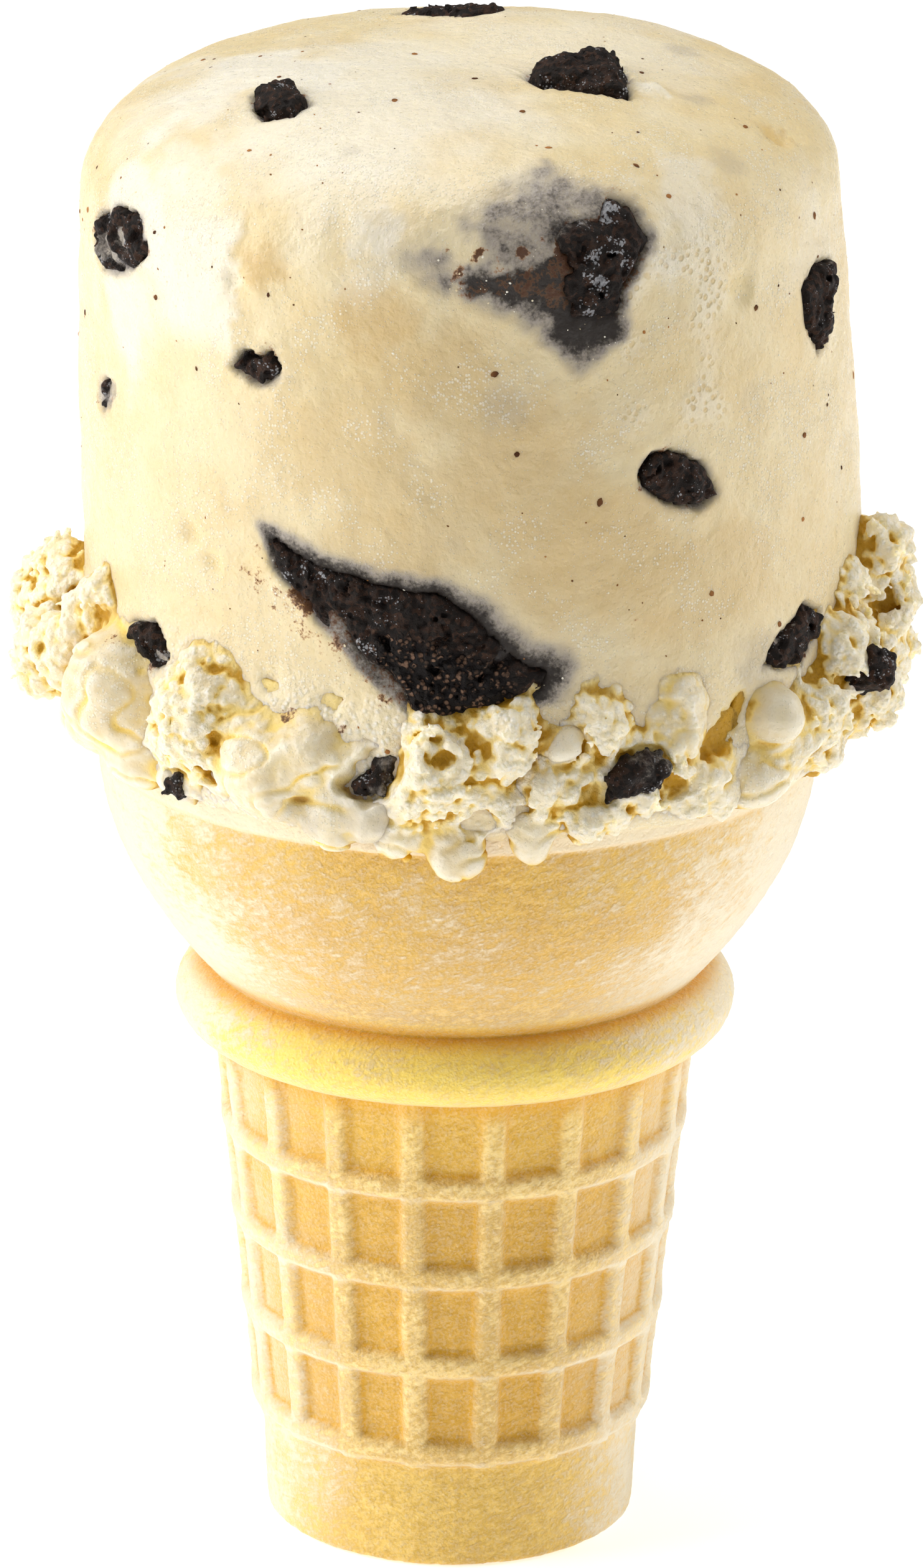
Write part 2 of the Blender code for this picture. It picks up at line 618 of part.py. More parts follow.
def keep_largest(thing):
    """Merge stray points, and drop the scraps that cutting left loose."""
    shape = bmesh.new()
    shape.from_mesh(thing.data)
    bmesh.ops.remove_doubles(shape, verts=shape.verts, dist=0.002 * MM)
    bmesh.ops.dissolve_degenerate(shape, edges=shape.edges, dist=0.002 * MM)
    bmesh.ops.dissolve_limit(shape, angle_limit=FLAT_ENOUGH, verts=shape.verts, edges=shape.edges)
    bmesh.ops.triangulate(shape, faces=shape.faces)
    seen = set()
    islands = []
    for start in shape.verts:
        if start in seen:
            continue
        island = []
        queue = [start]
        seen.add(start)
        while queue:
            vertex = queue.pop()
            island.append(vertex)
            for edge in vertex.link_edges:
                other = edge.other_vert(vertex)
                if other not in seen:
                    seen.add(other)
                    queue.append(other)
        islands.append(island)
    islands.sort(key=len)
    for island in islands[:-1]:
        bmesh.ops.delete(shape, geom=island, context="VERTS")
    shape.to_mesh(thing.data)
    shape.free()


def make_cup_clearance():
    """The cup's wall and lip, a gap larger all round, to be cut from the curds."""
    shape = bmesh.new()
    rings = []
    for height in (56.0 * MM, 60.0 * MM, BOWL_HEIGHT):
        rings.append(cup_ring(height, bowl_radius(height) + GAP))
    rings.append(cup_ring(BOWL_HEIGHT + 0.2 * MM, LIP_RADIUS + GAP))
    rings.append(cup_ring(LIP_TOP + GAP, LIP_RADIUS + GAP))
    rings.append(cup_ring(LIP_TOP + GAP, LIP_RADIUS - WALL - 0.6 * GAP))
    rings.append(cup_ring(56.0 * MM, bowl_radius(56.0 * MM) - WALL + GAP))
    made = [add_ring(shape, ring) for ring in rings]
    for lower, upper in zip(made, made[1:] + made[:1]):
        join_rings(shape, lower, upper)
    return make_object("cup_clearance", shape)


def main():
    clear_scene()
    wafer = make_material("wafer", WAFER_COLOUR, 0.75)
    cream = make_material("ice_cream", CREAM_COLOUR, 0.45)
    biscuit = make_material("biscuit", BISCUIT_COLOUR, 0.8)
    make_cup(wafer)
    ice_cream = make_drum()
    drum_tree = tree_of(ice_cream)
    lumps = [make_lump(*lump, seed) for seed, lump in enumerate(crown_lumps())]
    combine(ice_cream, lumps, "UNION")
    crown_tree = tree_of(ice_cream)
    trees = (drum_tree, crown_tree)
    cutters = [make_cup_clearance()]
    for name, where, outline, depth, proud, seed in biscuit_plans():
        make_biscuit(name, where, outline, depth, proud, seed, trees, biscuit)
        cutters.append(make_socket(where, outline, depth, trees))
    combine(ice_cream, cutters, "DIFFERENCE")
    keep_largest(ice_cream)
    ice_cream.data.materials.clear()
    ice_cream.data.materials.append(cream)
    ice_cream.data.shade_smooth()
    ice_cream.data.set_sharp_from_angle(angle=math.radians(35))


main()
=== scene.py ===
"""Ice Cream Cone: a moulded wafer cup, a drum of vanilla ice cream with a crown of torn curds,
and dark biscuit pieces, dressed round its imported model.

Lengths in the tables below are millimetres in the model's own frame. +Z is up, the front
faces -Y, and azimuths run from the front, positive towards +X. Meshes are written in metres.
"""

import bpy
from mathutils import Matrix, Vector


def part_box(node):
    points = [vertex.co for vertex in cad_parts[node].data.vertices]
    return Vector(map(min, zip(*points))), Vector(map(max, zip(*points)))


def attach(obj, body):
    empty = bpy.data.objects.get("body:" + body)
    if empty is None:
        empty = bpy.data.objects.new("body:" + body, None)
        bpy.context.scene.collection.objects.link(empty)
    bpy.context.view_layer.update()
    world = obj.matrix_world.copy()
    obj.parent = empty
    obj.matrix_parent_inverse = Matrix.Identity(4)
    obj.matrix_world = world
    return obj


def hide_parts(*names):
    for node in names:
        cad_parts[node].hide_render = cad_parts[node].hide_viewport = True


bl_info = {
    "name": "Ice Cream Cone",
    "version": (1, 0, 0),
    "blender": (4, 5, 0),
    "location": "3D View > Sidebar > Cone",
    "description": "Builds a filled wafer cup: wafer, ice cream, curds, biscuit pieces and specks",
    "category": "Object",
}

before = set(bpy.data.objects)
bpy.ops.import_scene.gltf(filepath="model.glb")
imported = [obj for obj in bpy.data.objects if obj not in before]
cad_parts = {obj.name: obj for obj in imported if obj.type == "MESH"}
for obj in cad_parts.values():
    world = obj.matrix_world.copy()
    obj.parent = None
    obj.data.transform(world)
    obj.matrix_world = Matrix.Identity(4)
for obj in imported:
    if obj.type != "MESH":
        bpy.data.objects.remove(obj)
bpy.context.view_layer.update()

import math
import random
from types import SimpleNamespace

import bmesh
import bpy
import numpy as np
from bpy.props import FloatProperty, FloatVectorProperty, IntProperty, PointerProperty
from mathutils import Matrix, Vector

MM = 0.001
TEN_BITS = 1023                     # the greatest number in ten bits
LAMP_AIM = (0.0, 0.0, 0.075)        # the cone's middle, in metres
CORNERS = [(i, j, k) for i in (0, 1) for j in (0, 1) for k in (0, 1)]

# ---- sizes of the cone, in mm

STEM_RADIUS, STEM_TAPER = 14.85, 0.1055
BAND_RADIUS, BAND_TAPER, BAND_TOP = 14.7, 0.045, 8.9
BASE_FILLET = 0.8
COLLAR_LOW, COLLAR_RADIUS, COLLAR_ROUND = 41.0, 22.2, 1.34
NECK_HEIGHT, NECK_RADIUS = 46.8, 19.55
BOWL_HEIGHT, BOWL_RADIUS, BOWL_POWER, BOWL_FLOOR = 64.8, 28.3, 1.9, 49.0
LIP_RADIUS, LIP_TOP, WALL = 28.5, 66.8, 2.0
INNER_ROWS = 12                     # steps of the inner wall's line

DRUM_X, DRUM_Y, DRUM_LEAN = 1.0, 0.5, -0.051
DRUM_FOOT, DRUM_TOP = 83.0, 120.4
DRUM_FOOT_RADIUS, DRUM_SHOULDER_RADIUS, DRUM_OVAL = 31.1, 30.2, 0.025
SHOULDER_HEIGHT, SHOULDER_RIGHT, SHOULDER_FRONT = 107.8, 1.9, 0.5
DOME_POWER, SHOULDER_POWER = 3.1, 3.2
SHOULDER_POWER_RIGHT, SHOULDER_POWER_FRONT = 1.2, 0.6
TOP_TILT = -0.047

# Marks on the ice cream: x, y, z, radius and strength. First the drum's seams over the crown, carved in and
# painted with amber shade.
SEAMS_WITH_SHADE = [
    (21.1, -22.9, 75.6, 1.1, 0.9), (20.3, -23.6, 74.4, 1.3, 1), (19.3, -24.5, 73.2, 1.4, 1),
    (18.2, -25.3, 71.9, 1.2, 0.8), (-26.8, -16, 75.6, 1, 0.6), (9, -30.4, 74.6, 1, 0.5)
]
GREY_SMEARS = [
    (16.8, 5.1, 119.1, 1.5, 0.5), (17.7, -7.6, 118.9, 1.3, 0.55), (8.2, 5.7, 119.9, 0.9, 0.6),
    (20, -17.1, 116.7, 1.6, 0.45), (3.5, -30.7, 101.3, 2, 0.42), (22, -21.2, 99.1, 1.5, 0.22),
    (-8.4, -22, 118.7, 0.8, 0.3), (-28.6, -1.5, 70.7, 1.2, 0.4), (-4.8, -29.4, 113.6, 2.4, 0.3),
    (22.6, -22.1, 78.8, 2.4, 0.5), (-0.5, -30.9, 90.6, 0.9, 0.25), (-12, -30, 67.9, 2.3, 0.6),
    (-7.4, -32, 70, 2.6, 0.62), (-7.6, -31, 67, 2, 0.5), (-20.5, -22, 66.8, 1.4, 0.35),
    (13, 26, 113, 2.6, 0.35), (-22, 20, 94, 2, 0.4), (27, 12, 104, 1.6, 0.4), (6, 31.5, 98, 2.2, 0.35),
    (-29, 8, 82, 1.6, 0.35), (20, 24, 88, 1.8, 0.4)
]
BROWN_SMEARS = [
    (-15, -26.7, 86.3, 2.2, 0.35), (-8.2, -29.9, 81.2, 2.6, 0.3), (-11.6, -28.8, 83.8, 2, 0.3),
    (13.5, -29.4, 83, 1.4, 0.25), (-26.4, -16.2, 77.6, 0.9, 0.5), (-28, -13.6, 76.4, 0.8, 0.55),
    (-28.6, -12.6, 74.4, 0.8, 0.5), (-25.2, -18, 75.6, 0.7, 0.45), (25, -22.4, 78.6, 0.8, 0.4),
    (-13, -28.4, 76.4, 0.8, 0.5), (-9, -30.4, 75.6, 0.7, 0.5), (26, 14, 84, 1, 0.4),
    (-16, 27, 86, 1.2, 0.4), (9, 31, 79, 1.4, 0.4), (2, 32, 104, 1, 0.35)
]
# Tan patches; those on the front also paint the shade there.
TAN_PATCHES_AND_SHADE = [
    (-15, -26.3, 110.6, 1.8, 0.55), (-6.6, -29.8, 107.7, 3.4, 0.5), (-2, -30.6, 104, 4.6, 0.35),
    (4, -30.8, 97, 6.5, 0.4), (12, -28.8, 88, 6.5, 0.38), (-8, -29.8, 97, 6, 0.34),
    (23.8, -9.4, 116.8, 1.6, 0.5), (8, -30.4, 91, 6, 0.36), (-4, -30.6, 92, 6, 0.3), (20, -23, 86, 5, 0.3),
    (-14, 27, 103, 6, 0.35), (10, 29.5, 94, 7, 0.35), (27, 10, 96, 6, 0.3), (-29, 8, 101, 5, 0.3),
    (0, 31, 86, 6, 0.3)
]
# Milk film marks; the big ones on the top and the left also paint highlights there.
MILK_FILM_AND_HIGHLIGHTS = [
    (-24, -17, 111, 5.5, 0.8), (-26, -16, 104, 5, 0.6), (-20, -18, 116, 5, 0.6),
    (17, -22.5, 115.2, 3.6, 0.5), (14.2, -7.5, 119.4, 1.4, 0.8), (14.5, -24.5, 111.8, 2.6, 0.5),
    (-5, -14, 120, 15, 0.7), (8, 2, 120, 12, 0.5), (27, -12, 108, 5, 0.35), (-6.6, -29, 114.2, 2.2, 0.7),
    (-14, -6, 119, 10, 0.9), (-27, 10, 108, 6, 0.5), (4, 27, 114, 6, 0.5), (26, 14, 100, 4, 0.4)
]
DENTS = [
    (23.8, -9.4, 116.8, 1.5, 0.5), (25, -7, 115.6, 1.2, 0.4), (-20.4, -22.4, 88.5, 0.9, 0.45),
    (-18.6, -24, 86.7, 0.8, 0.5), (-17.2, -25, 109.4, 0.9, 0.35), (21, -21.5, 108, 1.6, 0.25),
    (-14.2, -27.2, 78.4, 1.1, 0.7), (-9.6, -29.8, 77.4, 0.9, 0.6), (-16.6, -25.6, 76.4, 1.1, 0.7),
    (18, 20, 112, 1.6, 0.5), (-26, 14, 98, 1.2, 0.45), (6, 31, 92, 1.4, 0.4)
]
SWELLS = [
    (10, 9, 120, 9, 0.9), (26.5, -2, 113.5, 3, 0.5), (-25.5, -1, 114.5, 3.2, 0.5),
    (-27, -12, 108, 6, 0.25), (16, -24, 90, 6, -0.2), (14.2, -7.4, 119.6, 1.1, 0.8)
]
FOAM_AZIMUTHS, FOAM_HEIGHTS = (19, 44), (97, 114.5)
FILM_EDGE, FILM_EDGE_HEIGHTS = -34.5, (104.5, 113.5)

# Curds: azimuth, height, distance from the axis, radius, height over width, roughness.
CURDS = {
    "curds_left": [
        (-91, 78.9, 32.2, 1.8, 1.1, 1), (-94, 75, 33.1, 2.9, 1.2, 1), (-84, 72.6, 32.9, 2.9, 1.2, 0.9),
        (-76, 74.4, 31.6, 3, 1, 0.7), (-88, 77, 30.6, 2.6, 1, 1), (-67, 80.4, 30.4, 1.5, 1, 0.9),
        (-72, 78, 30.4, 2, 1.1, 0.8), (-60, 73.4, 30.5, 4.7, 1.1, 0.05), (-55, 70, 29.8, 3.6, 1, 0.1),
        (-66, 70.8, 30.2, 3.6, 1, 0.1)],
    "curds_mid_left": [
        (-46, 71.8, 29.6, 3, 1.1, 0.8), (-40, 74.6, 31, 3.6, 1.25, 0.75), (-43, 69.4, 30, 2.5, 1, 0.7),
        (-35, 71.2, 30.4, 2.6, 1.1, 0.6), (-28, 71.4, 31.1, 3.9, 1, 0.15),
        (-22, 73.4, 30.8, 3.4, 0.9, 0.15), (-31, 74, 30.2, 3, 0.8, 0.3), (-18, 68.8, 30.9, 2.9, 1.05, 0.1),
        (-14, 71.8, 31, 2.8, 1.1, 0.25), (-24, 69.4, 30.2, 2.6, 0.8, 0.3)],
    "curds_middle": [
        (-9, 68.2, 30.8, 2.3, 1.3, 0.2), (-4, 73.2, 32, 3.1, 1.15, 0.95), (-7, 70.8, 31.6, 2.5, 1, 0.9),
        (2, 74, 31.4, 2.6, 1, 1), (6, 75.4, 32, 2.3, 1.15, 0.95), (0, 70, 31, 2.6, 0.9, 0.9),
        (0, 66.6, 30.8, 1.9, 1.35, 0.1), (5, 70.4, 31, 2.2, 0.9, 0.8)],
    "curds_mid_right": [
        (12, 71.4, 31.8, 2.3, 1, 0.9), (19, 76.2, 31.6, 2.2, 1, 0.9), (16, 73.6, 31, 2.2, 1, 0.8),
        (10, 67.8, 30.8, 1.6, 1.3, 0.1), (18, 69, 31, 2.6, 0.8, 0.85), (22, 71.6, 30.8, 2.8, 1, 0.7),
        (27, 71.8, 30.9, 3, 1.15, 0.85), (34, 70.2, 30.9, 2.6, 1, 0.6), (31, 75.4, 31.2, 2.3, 1.35, 0.5),
        (38, 68.6, 30.4, 2.2, 0.9, 0.7), (40, 71, 29.4, 2.2, 1, 0.5)],
    "curds_right": [
        (46, 69.4, 30.4, 3.2, 0.85, 0.15), (52, 71.4, 30.4, 3, 1, 0.5), (58, 72.6, 31.2, 3.1, 1, 0.9),
        (66, 76.2, 31.8, 3, 1.2, 1), (74, 71.8, 32.4, 2.6, 1.2, 1), (62, 69.6, 30.2, 2.6, 1, 0.8),
        (84, 77.6, 32.6, 3, 1.2, 1), (82, 82, 32.6, 2.4, 1.1, 1), (86, 72.8, 33, 2.4, 1.2, 1),
        (79, 74.4, 31.2, 3.2, 1.1, 1), (72, 80, 31, 2.2, 1.1, 0.9), (93, 79, 31, 2.6, 1.1, 1)],
}
# Smooth beads and drips on the curds: group, azimuth, height, distance, radius, tallness.
BEADS = [
    ("curds_middle", 12.6, 74.6, 32.7, 0.95, 0.9), ("curds_middle", 14.6, 75.2, 32.5, 0.9, 0.9),
    ("curds_middle", -1.5, 65.9, 31.2, 1.75, 1.1), ("curds_right", 47.8, 74, 32.2, 2.2, 1.05),
    ("curds_mid_right", 9.5, 67.2, 31.5, 1.55, 1.25), ("curds_mid_left", -13, 69.4, 32.2, 1.9, 1.3),
    ("curds_left", -46, 68.5, 30.6, 1.5, 0.9)
]
# Deep holes carved into the curds, whose insides take painted amber shade: azimuth, height, radius.
HOLES = [
    (28.5, 70.6, 0.95), (2, 68.9, 1), (8, 69.6, 1), (-2.5, 74.6, 0.6), (-84, 77, 0.8), (72, 79.4, 1.1),
    (70.5, 77, 0.9), (-46, 77.2, 0.6), (-51, 73.6, 0.8), (63, 74.6, 0.9), (-33, 77.6, 0.6),
    (22, 73.6, 0.6), (55, 70.2, 0.7), (-37, 70.4, 0.7), (100, 73, 0.9), (128, 71, 0.8), (160, 73.5, 0.9),
    (-170, 70.5, 0.8), (-135, 74, 0.9), (-112, 71, 0.8)
]
CROWN_BACK_COUNT, CROWN_BACK_SEED = 18, 7
CROWN_BACK_HEIGHTS, CROWN_BACK_DISTANCE, CROWN_BACK_RADII = (69.8, 74.6), 31.4, (2.7, 3.8)
FILLER_CURD = (29.7, 2.5, 1.15, 0.4)  # the curds behind each stretch: from their distance on
CURD_JOIN = 1.1                     # how softly two curds run together
FOOT_JOIN = 1.7                     # how softly a curd runs into the drum

BISCUIT_SIDES = 8
BISCUIT_BEND = 0.45                 # how round a piece's rim is
CROWN_TILT = 0.35
CROWN_FOOT = 68.2                   # where the drum's foot ends under the curds
# Biscuit pieces: where, depth, how proud, seed, how much milk veils it, and its outline: width, height
# and turn, or corners in mm right and up from its middle.
BISCUITS = {
    "biscuit_crown_right": (("crown", 66, 75.6), 2.4, 0.9, 11, 0.05, (3.4, 4.2, 28)),
    "biscuit_crown_left": (("crown", -43.5, 68.6), 1.8, 0.5, 14, 0.4, (2.3, 2.3, 0)),
    "biscuit_back_high": (("wall", 168, 108), 3, 0.4, 15, 0.5, (9, 6.4, -18)),
    "biscuit_back_left": (("wall", -122, 100.5), 2.8, 0.5, 16, 0.25, (6.4, 4.6, 30)),
    "biscuit_back_right": (("wall", 118, 92.5), 3, 0.5, 17, 0.3, (7.6, 5.6, -34)),
    "biscuit_back_middle": (("wall", -164, 90), 2.4, 0.4, 18, 0.5, (4.6, 3.8, 10)),
    "biscuit_back_low": (("wall", 146, 80.6), 3, 0.6, 19, 0.2, (8.6, 5, 16)),
    "biscuit_back_small": (("wall", -100, 88.4), 2, 0.4, 20, 0.3, (3.2, 3.6, 0)),
    "biscuit_crown_back": (("crown", -140, 73), 2.6, 0.8, 21, 0.2, (4.4, 3.8, 12)),
    "biscuit_back_corner": (("wall", -148, 109.5), 2.4, 0.5, 22, 0.4, (5, 3.8, 20)),
    "biscuit_upper_slab": (("wall", 8, 110.4), 3.2, 0.35, 40, 0.35, [
        (-9.4, 2.2), (-6.3, 4.9), (-1.9, 6.6), (2.6, 7.6), (8, 5.2), (9.3, 2.8), (7, -0.8), (6.8, -4),
        (3.6, -6.8), (1.6, -4.4), (-1.5, -2.3), (-8, 0.2)]),
    "biscuit_lower_slab": (("wall", -8.8, 83.4), 3.6, 0.5, 41, 0.35, [
        (-11.3, 6.8), (-7, 5.1), (-2.7, 4.3), (2.2, 3.7), (4.6, 2.3), (8.4, -1.6), (11, -2.7),
        (10.2, -4.3), (6.6, -5.6), (1.8, -6.7), (-1.6, -5), (-4.8, -2), (-7.4, 1), (-10.6, 4.2)]),
    "biscuit_top_back": (("top", -0.9, 13), 2.6, 0.4, 42, 0.3, [
        (-4.6, 0.4), (-2.3, 3), (1.8, 3), (4.4, 1), (3.1, -2.2), (1, -2.9), (-0.4, -1.9), (-3.2, -0.6)]),
    "biscuit_top_right": (("top", 8.8, -6), 2.8, 1.4, 43, 0.05, [
        (-4.2, -0.6), (-2.6, 2.2), (0.8, 4.8), (2.8, 4), (3.6, 0.2), (3.8, -4.2), (0.6, -3.8), (-3.4, -3)]),
    "biscuit_top_left": (("top", -14, -12.8), 2.4, 1.2, 44, 0.25, [
        (-1.6, 3), (1, 3), (1.7, 0.8), (2.4, -1.2), (1.3, -2.9), (-1.2, -2.8), (-1.8, -0.4), (-1.9, 1.9)]),
    "biscuit_left_upper": (("wall", -60.5, 109.6), 2.6, 0.4, 45, 0.5, [
        (-2.8, 1.3), (-0.5, 2.4), (3.2, 2.5), (4.6, -0.2), (1.2, -2.6), (-2.5, -3.2), (-4.2, -1.8),
        (-3.9, 0)]),
    "biscuit_right_side": (("wall", 64.5, 104.2), 3, 0.8, 46, 0.2, [
        (0, 3.2), (3.4, 2.6), (2.8, 0.2), (1.6, -0.6), (1, -3), (-1.2, -3.6), (-3.4, -0.6), (-3, 2)]),
    "biscuit_left_middle": (("wall", -30.8, 103), 2, 0.4, 47, 0.4, [
        (-2.3, -0.3), (-1.2, 1.1), (0, 0.9), (1, 1.6), (2.1, -0.4), (1.5, -0.9), (0.2, -1.2), (-1.3, -0.9)]),
    "biscuit_left_edge": (("wall", -66, 96.4), 2, 0.3, 48, 0.7, [
        (-2.2, 0.4), (0.3, 1.4), (1.8, 1.2), (2, 0.4), (0.9, -0.7), (-0.2, -1.6), (-1.4, -1.3),
        (-2.1, -0.6)]),
    "biscuit_right_round": (("wall", 29.2, 94.6), 3, 0.6, 49, 0.25, [
        (-2.8, 1.1), (-1.8, 2.1), (-0.4, 2.4), (2.7, 0.8), (4.1, -2), (2.2, -2.6), (-0.8, -1.8),
        (-2.8, -0.3)]),
    "biscuit_left_low": (("wall", -53, 78.4), 2.6, 0.9, 50, 0.2, [
        (-3.3, 0.2), (-1.7, 1.4), (1.1, 1.8), (2.4, 0.6), (3, -0.5), (1.4, -2), (-0.7, -1.2), (-3, -1)]),
    "biscuit_right_low": (("wall", 52.7, 79.3), 3, 0.8, 51, 0.2, [
        (1.3, 2.6), (3.8, 1.2), (3.2, -0.9), (0.8, -2.4), (-1.4, -2), (-4.1, -1.3), (-2.5, 0.6),
        (-0.2, 1.5)]),
    "biscuit_crown_front": (("crown", 22.4, 72.5), 2.8, 1, 52, 0.5, [
        (-2.6, 0.3), (-0.8, 1.4), (0.7, 1.8), (1.8, 1.6), (2.8, 0), (1.6, -1.6), (-0.9, -1.7), (-2.5, -2)]),
    "biscuit_crown_centre": (("crown", -12, 72.3), 2.6, 0.8, 53, 0.65, [
        (-2.3, -1.2), (-1.2, 0.1), (-0.3, 1.4), (0.9, 2), (1.6, 1.3), (1.3, -0.2), (0.7, -1.5),
        (-0.6, -1.9)]),
}


# ---- scattered numbers

def scatter(ix, iy, iz, seed):
    """A repeatable random whole number for each cell of a lattice."""
    number = (ix.astype(np.uint32) * np.uint32(374761393) + iy.astype(np.uint32) * np.uint32(668265263)
              + iz.astype(np.uint32) * np.uint32(2246822519)
              + np.uint32((seed * 3266489917) % 4294967296))
    number = (number ^ (number >> np.uint32(15))) * np.uint32(2654435761)
    number = (number ^ (number >> np.uint32(13))) * np.uint32(3266489917)
    return number ^ (number >> np.uint32(16))


def lattice(points, size, seed, shift=0.0):
    """Each point's place in its cell, and three random numbers for each of the cell's corners in turn."""
    place = np.asarray(points, np.float32) / np.float32(size)
    cell = np.floor(place - shift)
    rows = cell.astype(np.int64).T

    def corners():
        for corner in CORNERS:
            number = scatter(*(row + step for row, step in zip(rows, corner)), seed)
            yield corner, [((number >> np.uint32(bits)) & np.uint32(TEN_BITS)).astype(np.float32)
                           for bits in (0, 10, 20)]

    return place - cell, corners()


def soft_noise(points, size, seed):
    """Smooth noise from about -1 to 1, with bumps about `size` mm apart."""
    part, corners = lattice(points, size, seed)
    eased = part * part * part * (part * (part * 6 - 15) + 10)
    total = np.zeros(len(part), np.float32)
    for corner, numbers in corners:
        slope = sum((number / (0.5 * TEN_BITS) - 1) * (part[:, axis] - corner[axis])
                    for axis, number in enumerate(numbers))
        for axis in range(3):
            slope *= eased[:, axis] if corner[axis] else 1 - eased[:, axis]
        total += slope
    return total * 1.7


def cell_noise(points, size, seed):
    """Distance to the nearest of points about `size` mm apart, over that size, and a number of its own."""
    part, corners = lattice(points, size, seed, 0.5)
    best = np.full(len(part), 9.0, np.float32)
    own = np.zeros(len(part), np.float32)
    for corner, numbers in corners:
        a, b, c = (number / TEN_BITS for number in numbers)
        away = sum((part[:, axis] - corner[axis] - 0.15 - 0.7 * number) ** 2
                   for axis, number in enumerate((a, b, c)))
        nearer = away < best
        best = np.where(nearer, away, best)
        own = np.where(nearer, a, own)
    return np.sqrt(best), own


def ease(low, high, value):
    """0 below low, 1 above high, and smooth between."""
    share = np.clip((value - low) / (high - low), 0, 1)
    return share * share * (3 - 2 * share)


def marks(points, places, seed, raggedness=0.45):
    """How strongly a list of ragged marks covers each point, from 0 to 1."""
    cover = np.zeros(len(points), np.float32)
    for number, (x, y, z, radius, strength) in enumerate(places):
        off = points - np.array((x, y, z), np.float32)
        near = np.abs(off).max(1) < radius * 2.4
        if not near.any():
            continue
        away = np.sqrt((off[near] ** 2).sum(1)) / radius
        away += raggedness * soft_noise(points[near], radius * 0.7, seed + number)
        away += 0.5 * raggedness * soft_noise(points[near], radius * 0.25, seed + number + 50)
        cover[near] = np.maximum(cover[near], strength * (1 - ease(0.45, 1.35, away)))
    return cover


# ---- meshes

def add_object(name, data):
    """Put an object with its data into the scene."""
    thing = bpy.data.objects.new(name, data)
    bpy.context.scene.collection.objects.link(thing)
    return thing


def dress(piece, node=None):
    """Say what a finished piece rides on, and which node it replaces."""
    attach(piece, "root")
    if node:
        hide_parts(node)


def write_mesh(name, points, faces, layers, material, node):
    """A finished piece from points in mm, faces of three or four corners, and values for each point."""
    mesh = bpy.data.meshes.new(name)
    mesh.vertices.add(len(points))
    mesh.vertices.foreach_set("co", (np.asarray(points, np.float64) * MM).astype(np.float32).ravel())
    counts = np.concatenate([np.full(len(group), group.shape[1]) for group in faces])
    corners = np.concatenate([group.ravel() for group in faces])
    mesh.loops.add(len(corners))
    mesh.loops.foreach_set("vertex_index", corners.astype(np.int32))
    mesh.polygons.add(len(counts))
    mesh.polygons.foreach_set("loop_start", (np.cumsum(counts) - counts).astype(np.int32))
    mesh.update(calc_edges=True)
    mesh.validate()
    for layer, values in layers.items():
        mesh.attributes.new(layer, "FLOAT", "POINT").data.foreach_set("value", values.astype(np.float32))
    mesh.shade_smooth()
    mesh.materials.append(material)
    dress(add_object(name, mesh), node)


def surface_net(field, low, step):
    """Points and quads on the zero surface of a field, negative inside, that is given on a grid."""
    inside = field < 0
    cells = tuple(count - 1 for count in field.shape)

    def shifted(values, corner):
        return values[tuple(slice(c, c + n) for c, n in zip(corner, cells))]

    filled = sum(shifted(inside, corner).astype(np.uint8) for corner in CORNERS)
    active = (filled > 0) & (filled < 8)
    ids = np.full(cells, -1, np.int32)
    ids[active] = np.arange(active.sum())
    values = {corner: shifted(field, corner)[active] for corner in CORNERS}
    total = np.zeros((int(active.sum()), 3), np.float32)
    crossings = np.zeros(len(total), np.float32)
    for corner in CORNERS:
        for axis in range(3):
            if corner[axis]:
                continue
            other = tuple(1 if a == axis else c for a, c in enumerate(corner))
            first, second = values[corner], values[other]
            cross = (first < 0) != (second < 0)
            share = np.where(cross, first / np.where(cross, first - second, 1), 0)
            point = np.array(corner, np.float32)[None, :].repeat(len(total), 0)
            point[:, axis] += share
            total += point * cross[:, None]
            crossings += cross
    points = total / crossings[:, None] + np.argwhere(active)
    quads = []
    for axis in range(3):
        one, two = [a for a in range(3) if a != axis]
        if axis == 1:
            one, two = two, one
        middle = tuple(slice(0 if a == axis else 1, n) for a, n in enumerate(cells))
        after = tuple(slice(1, n + 1) if a == axis else slice(1, n) for a, n in enumerate(cells))
        here, there = inside[middle], inside[after]
        for leaving in (True, False):
            at = np.argwhere(here & ~there if leaving else ~here & there)
            at[:, one] += 1
            at[:, two] += 1
            ring = []
            for a, b in ((1, 1), (0, 1), (0, 0), (1, 0)):
                cell = at.copy()
                cell[:, one] -= a
                cell[:, two] -= b
                ring.append(ids[tuple(cell.T)])
            quads.append(np.stack(ring if leaving else ring[::-1], 1))
    return points * step + np.asarray(low), np.concatenate(quads)


def keep_main(points, quads, smallest=0.2):
    """Drop the crumbs of a surface that hang loose: what holds less than a share of its points."""
    label = np.arange(len(points))
    while True:
        lowest = label[quads].min(1)
        fresh = label.copy()
        for column in range(4):
            np.minimum.at(fresh, quads[:, column], lowest)
        fresh = fresh[fresh]
        if (fresh == label).all():
            break
        label = fresh
    names, counts = np.unique(label, return_counts=True)
    kept = np.isin(label, names[counts >= smallest * counts.max()])
    return points[kept], (np.cumsum(kept) - 1)[quads[kept[quads[:, 0]]]]


def blur(values, reach):
    """A box blur of a grid, `reach` cells each way."""
    for axis in range(3):
        run = np.cumsum(np.moveaxis(values, axis, 0), axis=0, dtype=np.float32)
        wide = 2 * reach + 1
        padded = np.concatenate([np.zeros((reach + 1,) + run.shape[1:], np.float32), run,
                                 np.repeat(run[-1:], reach, 0)])
        values = np.moveaxis((padded[wide:] - padded[:-wide]) / wide, 0, axis)
    return values


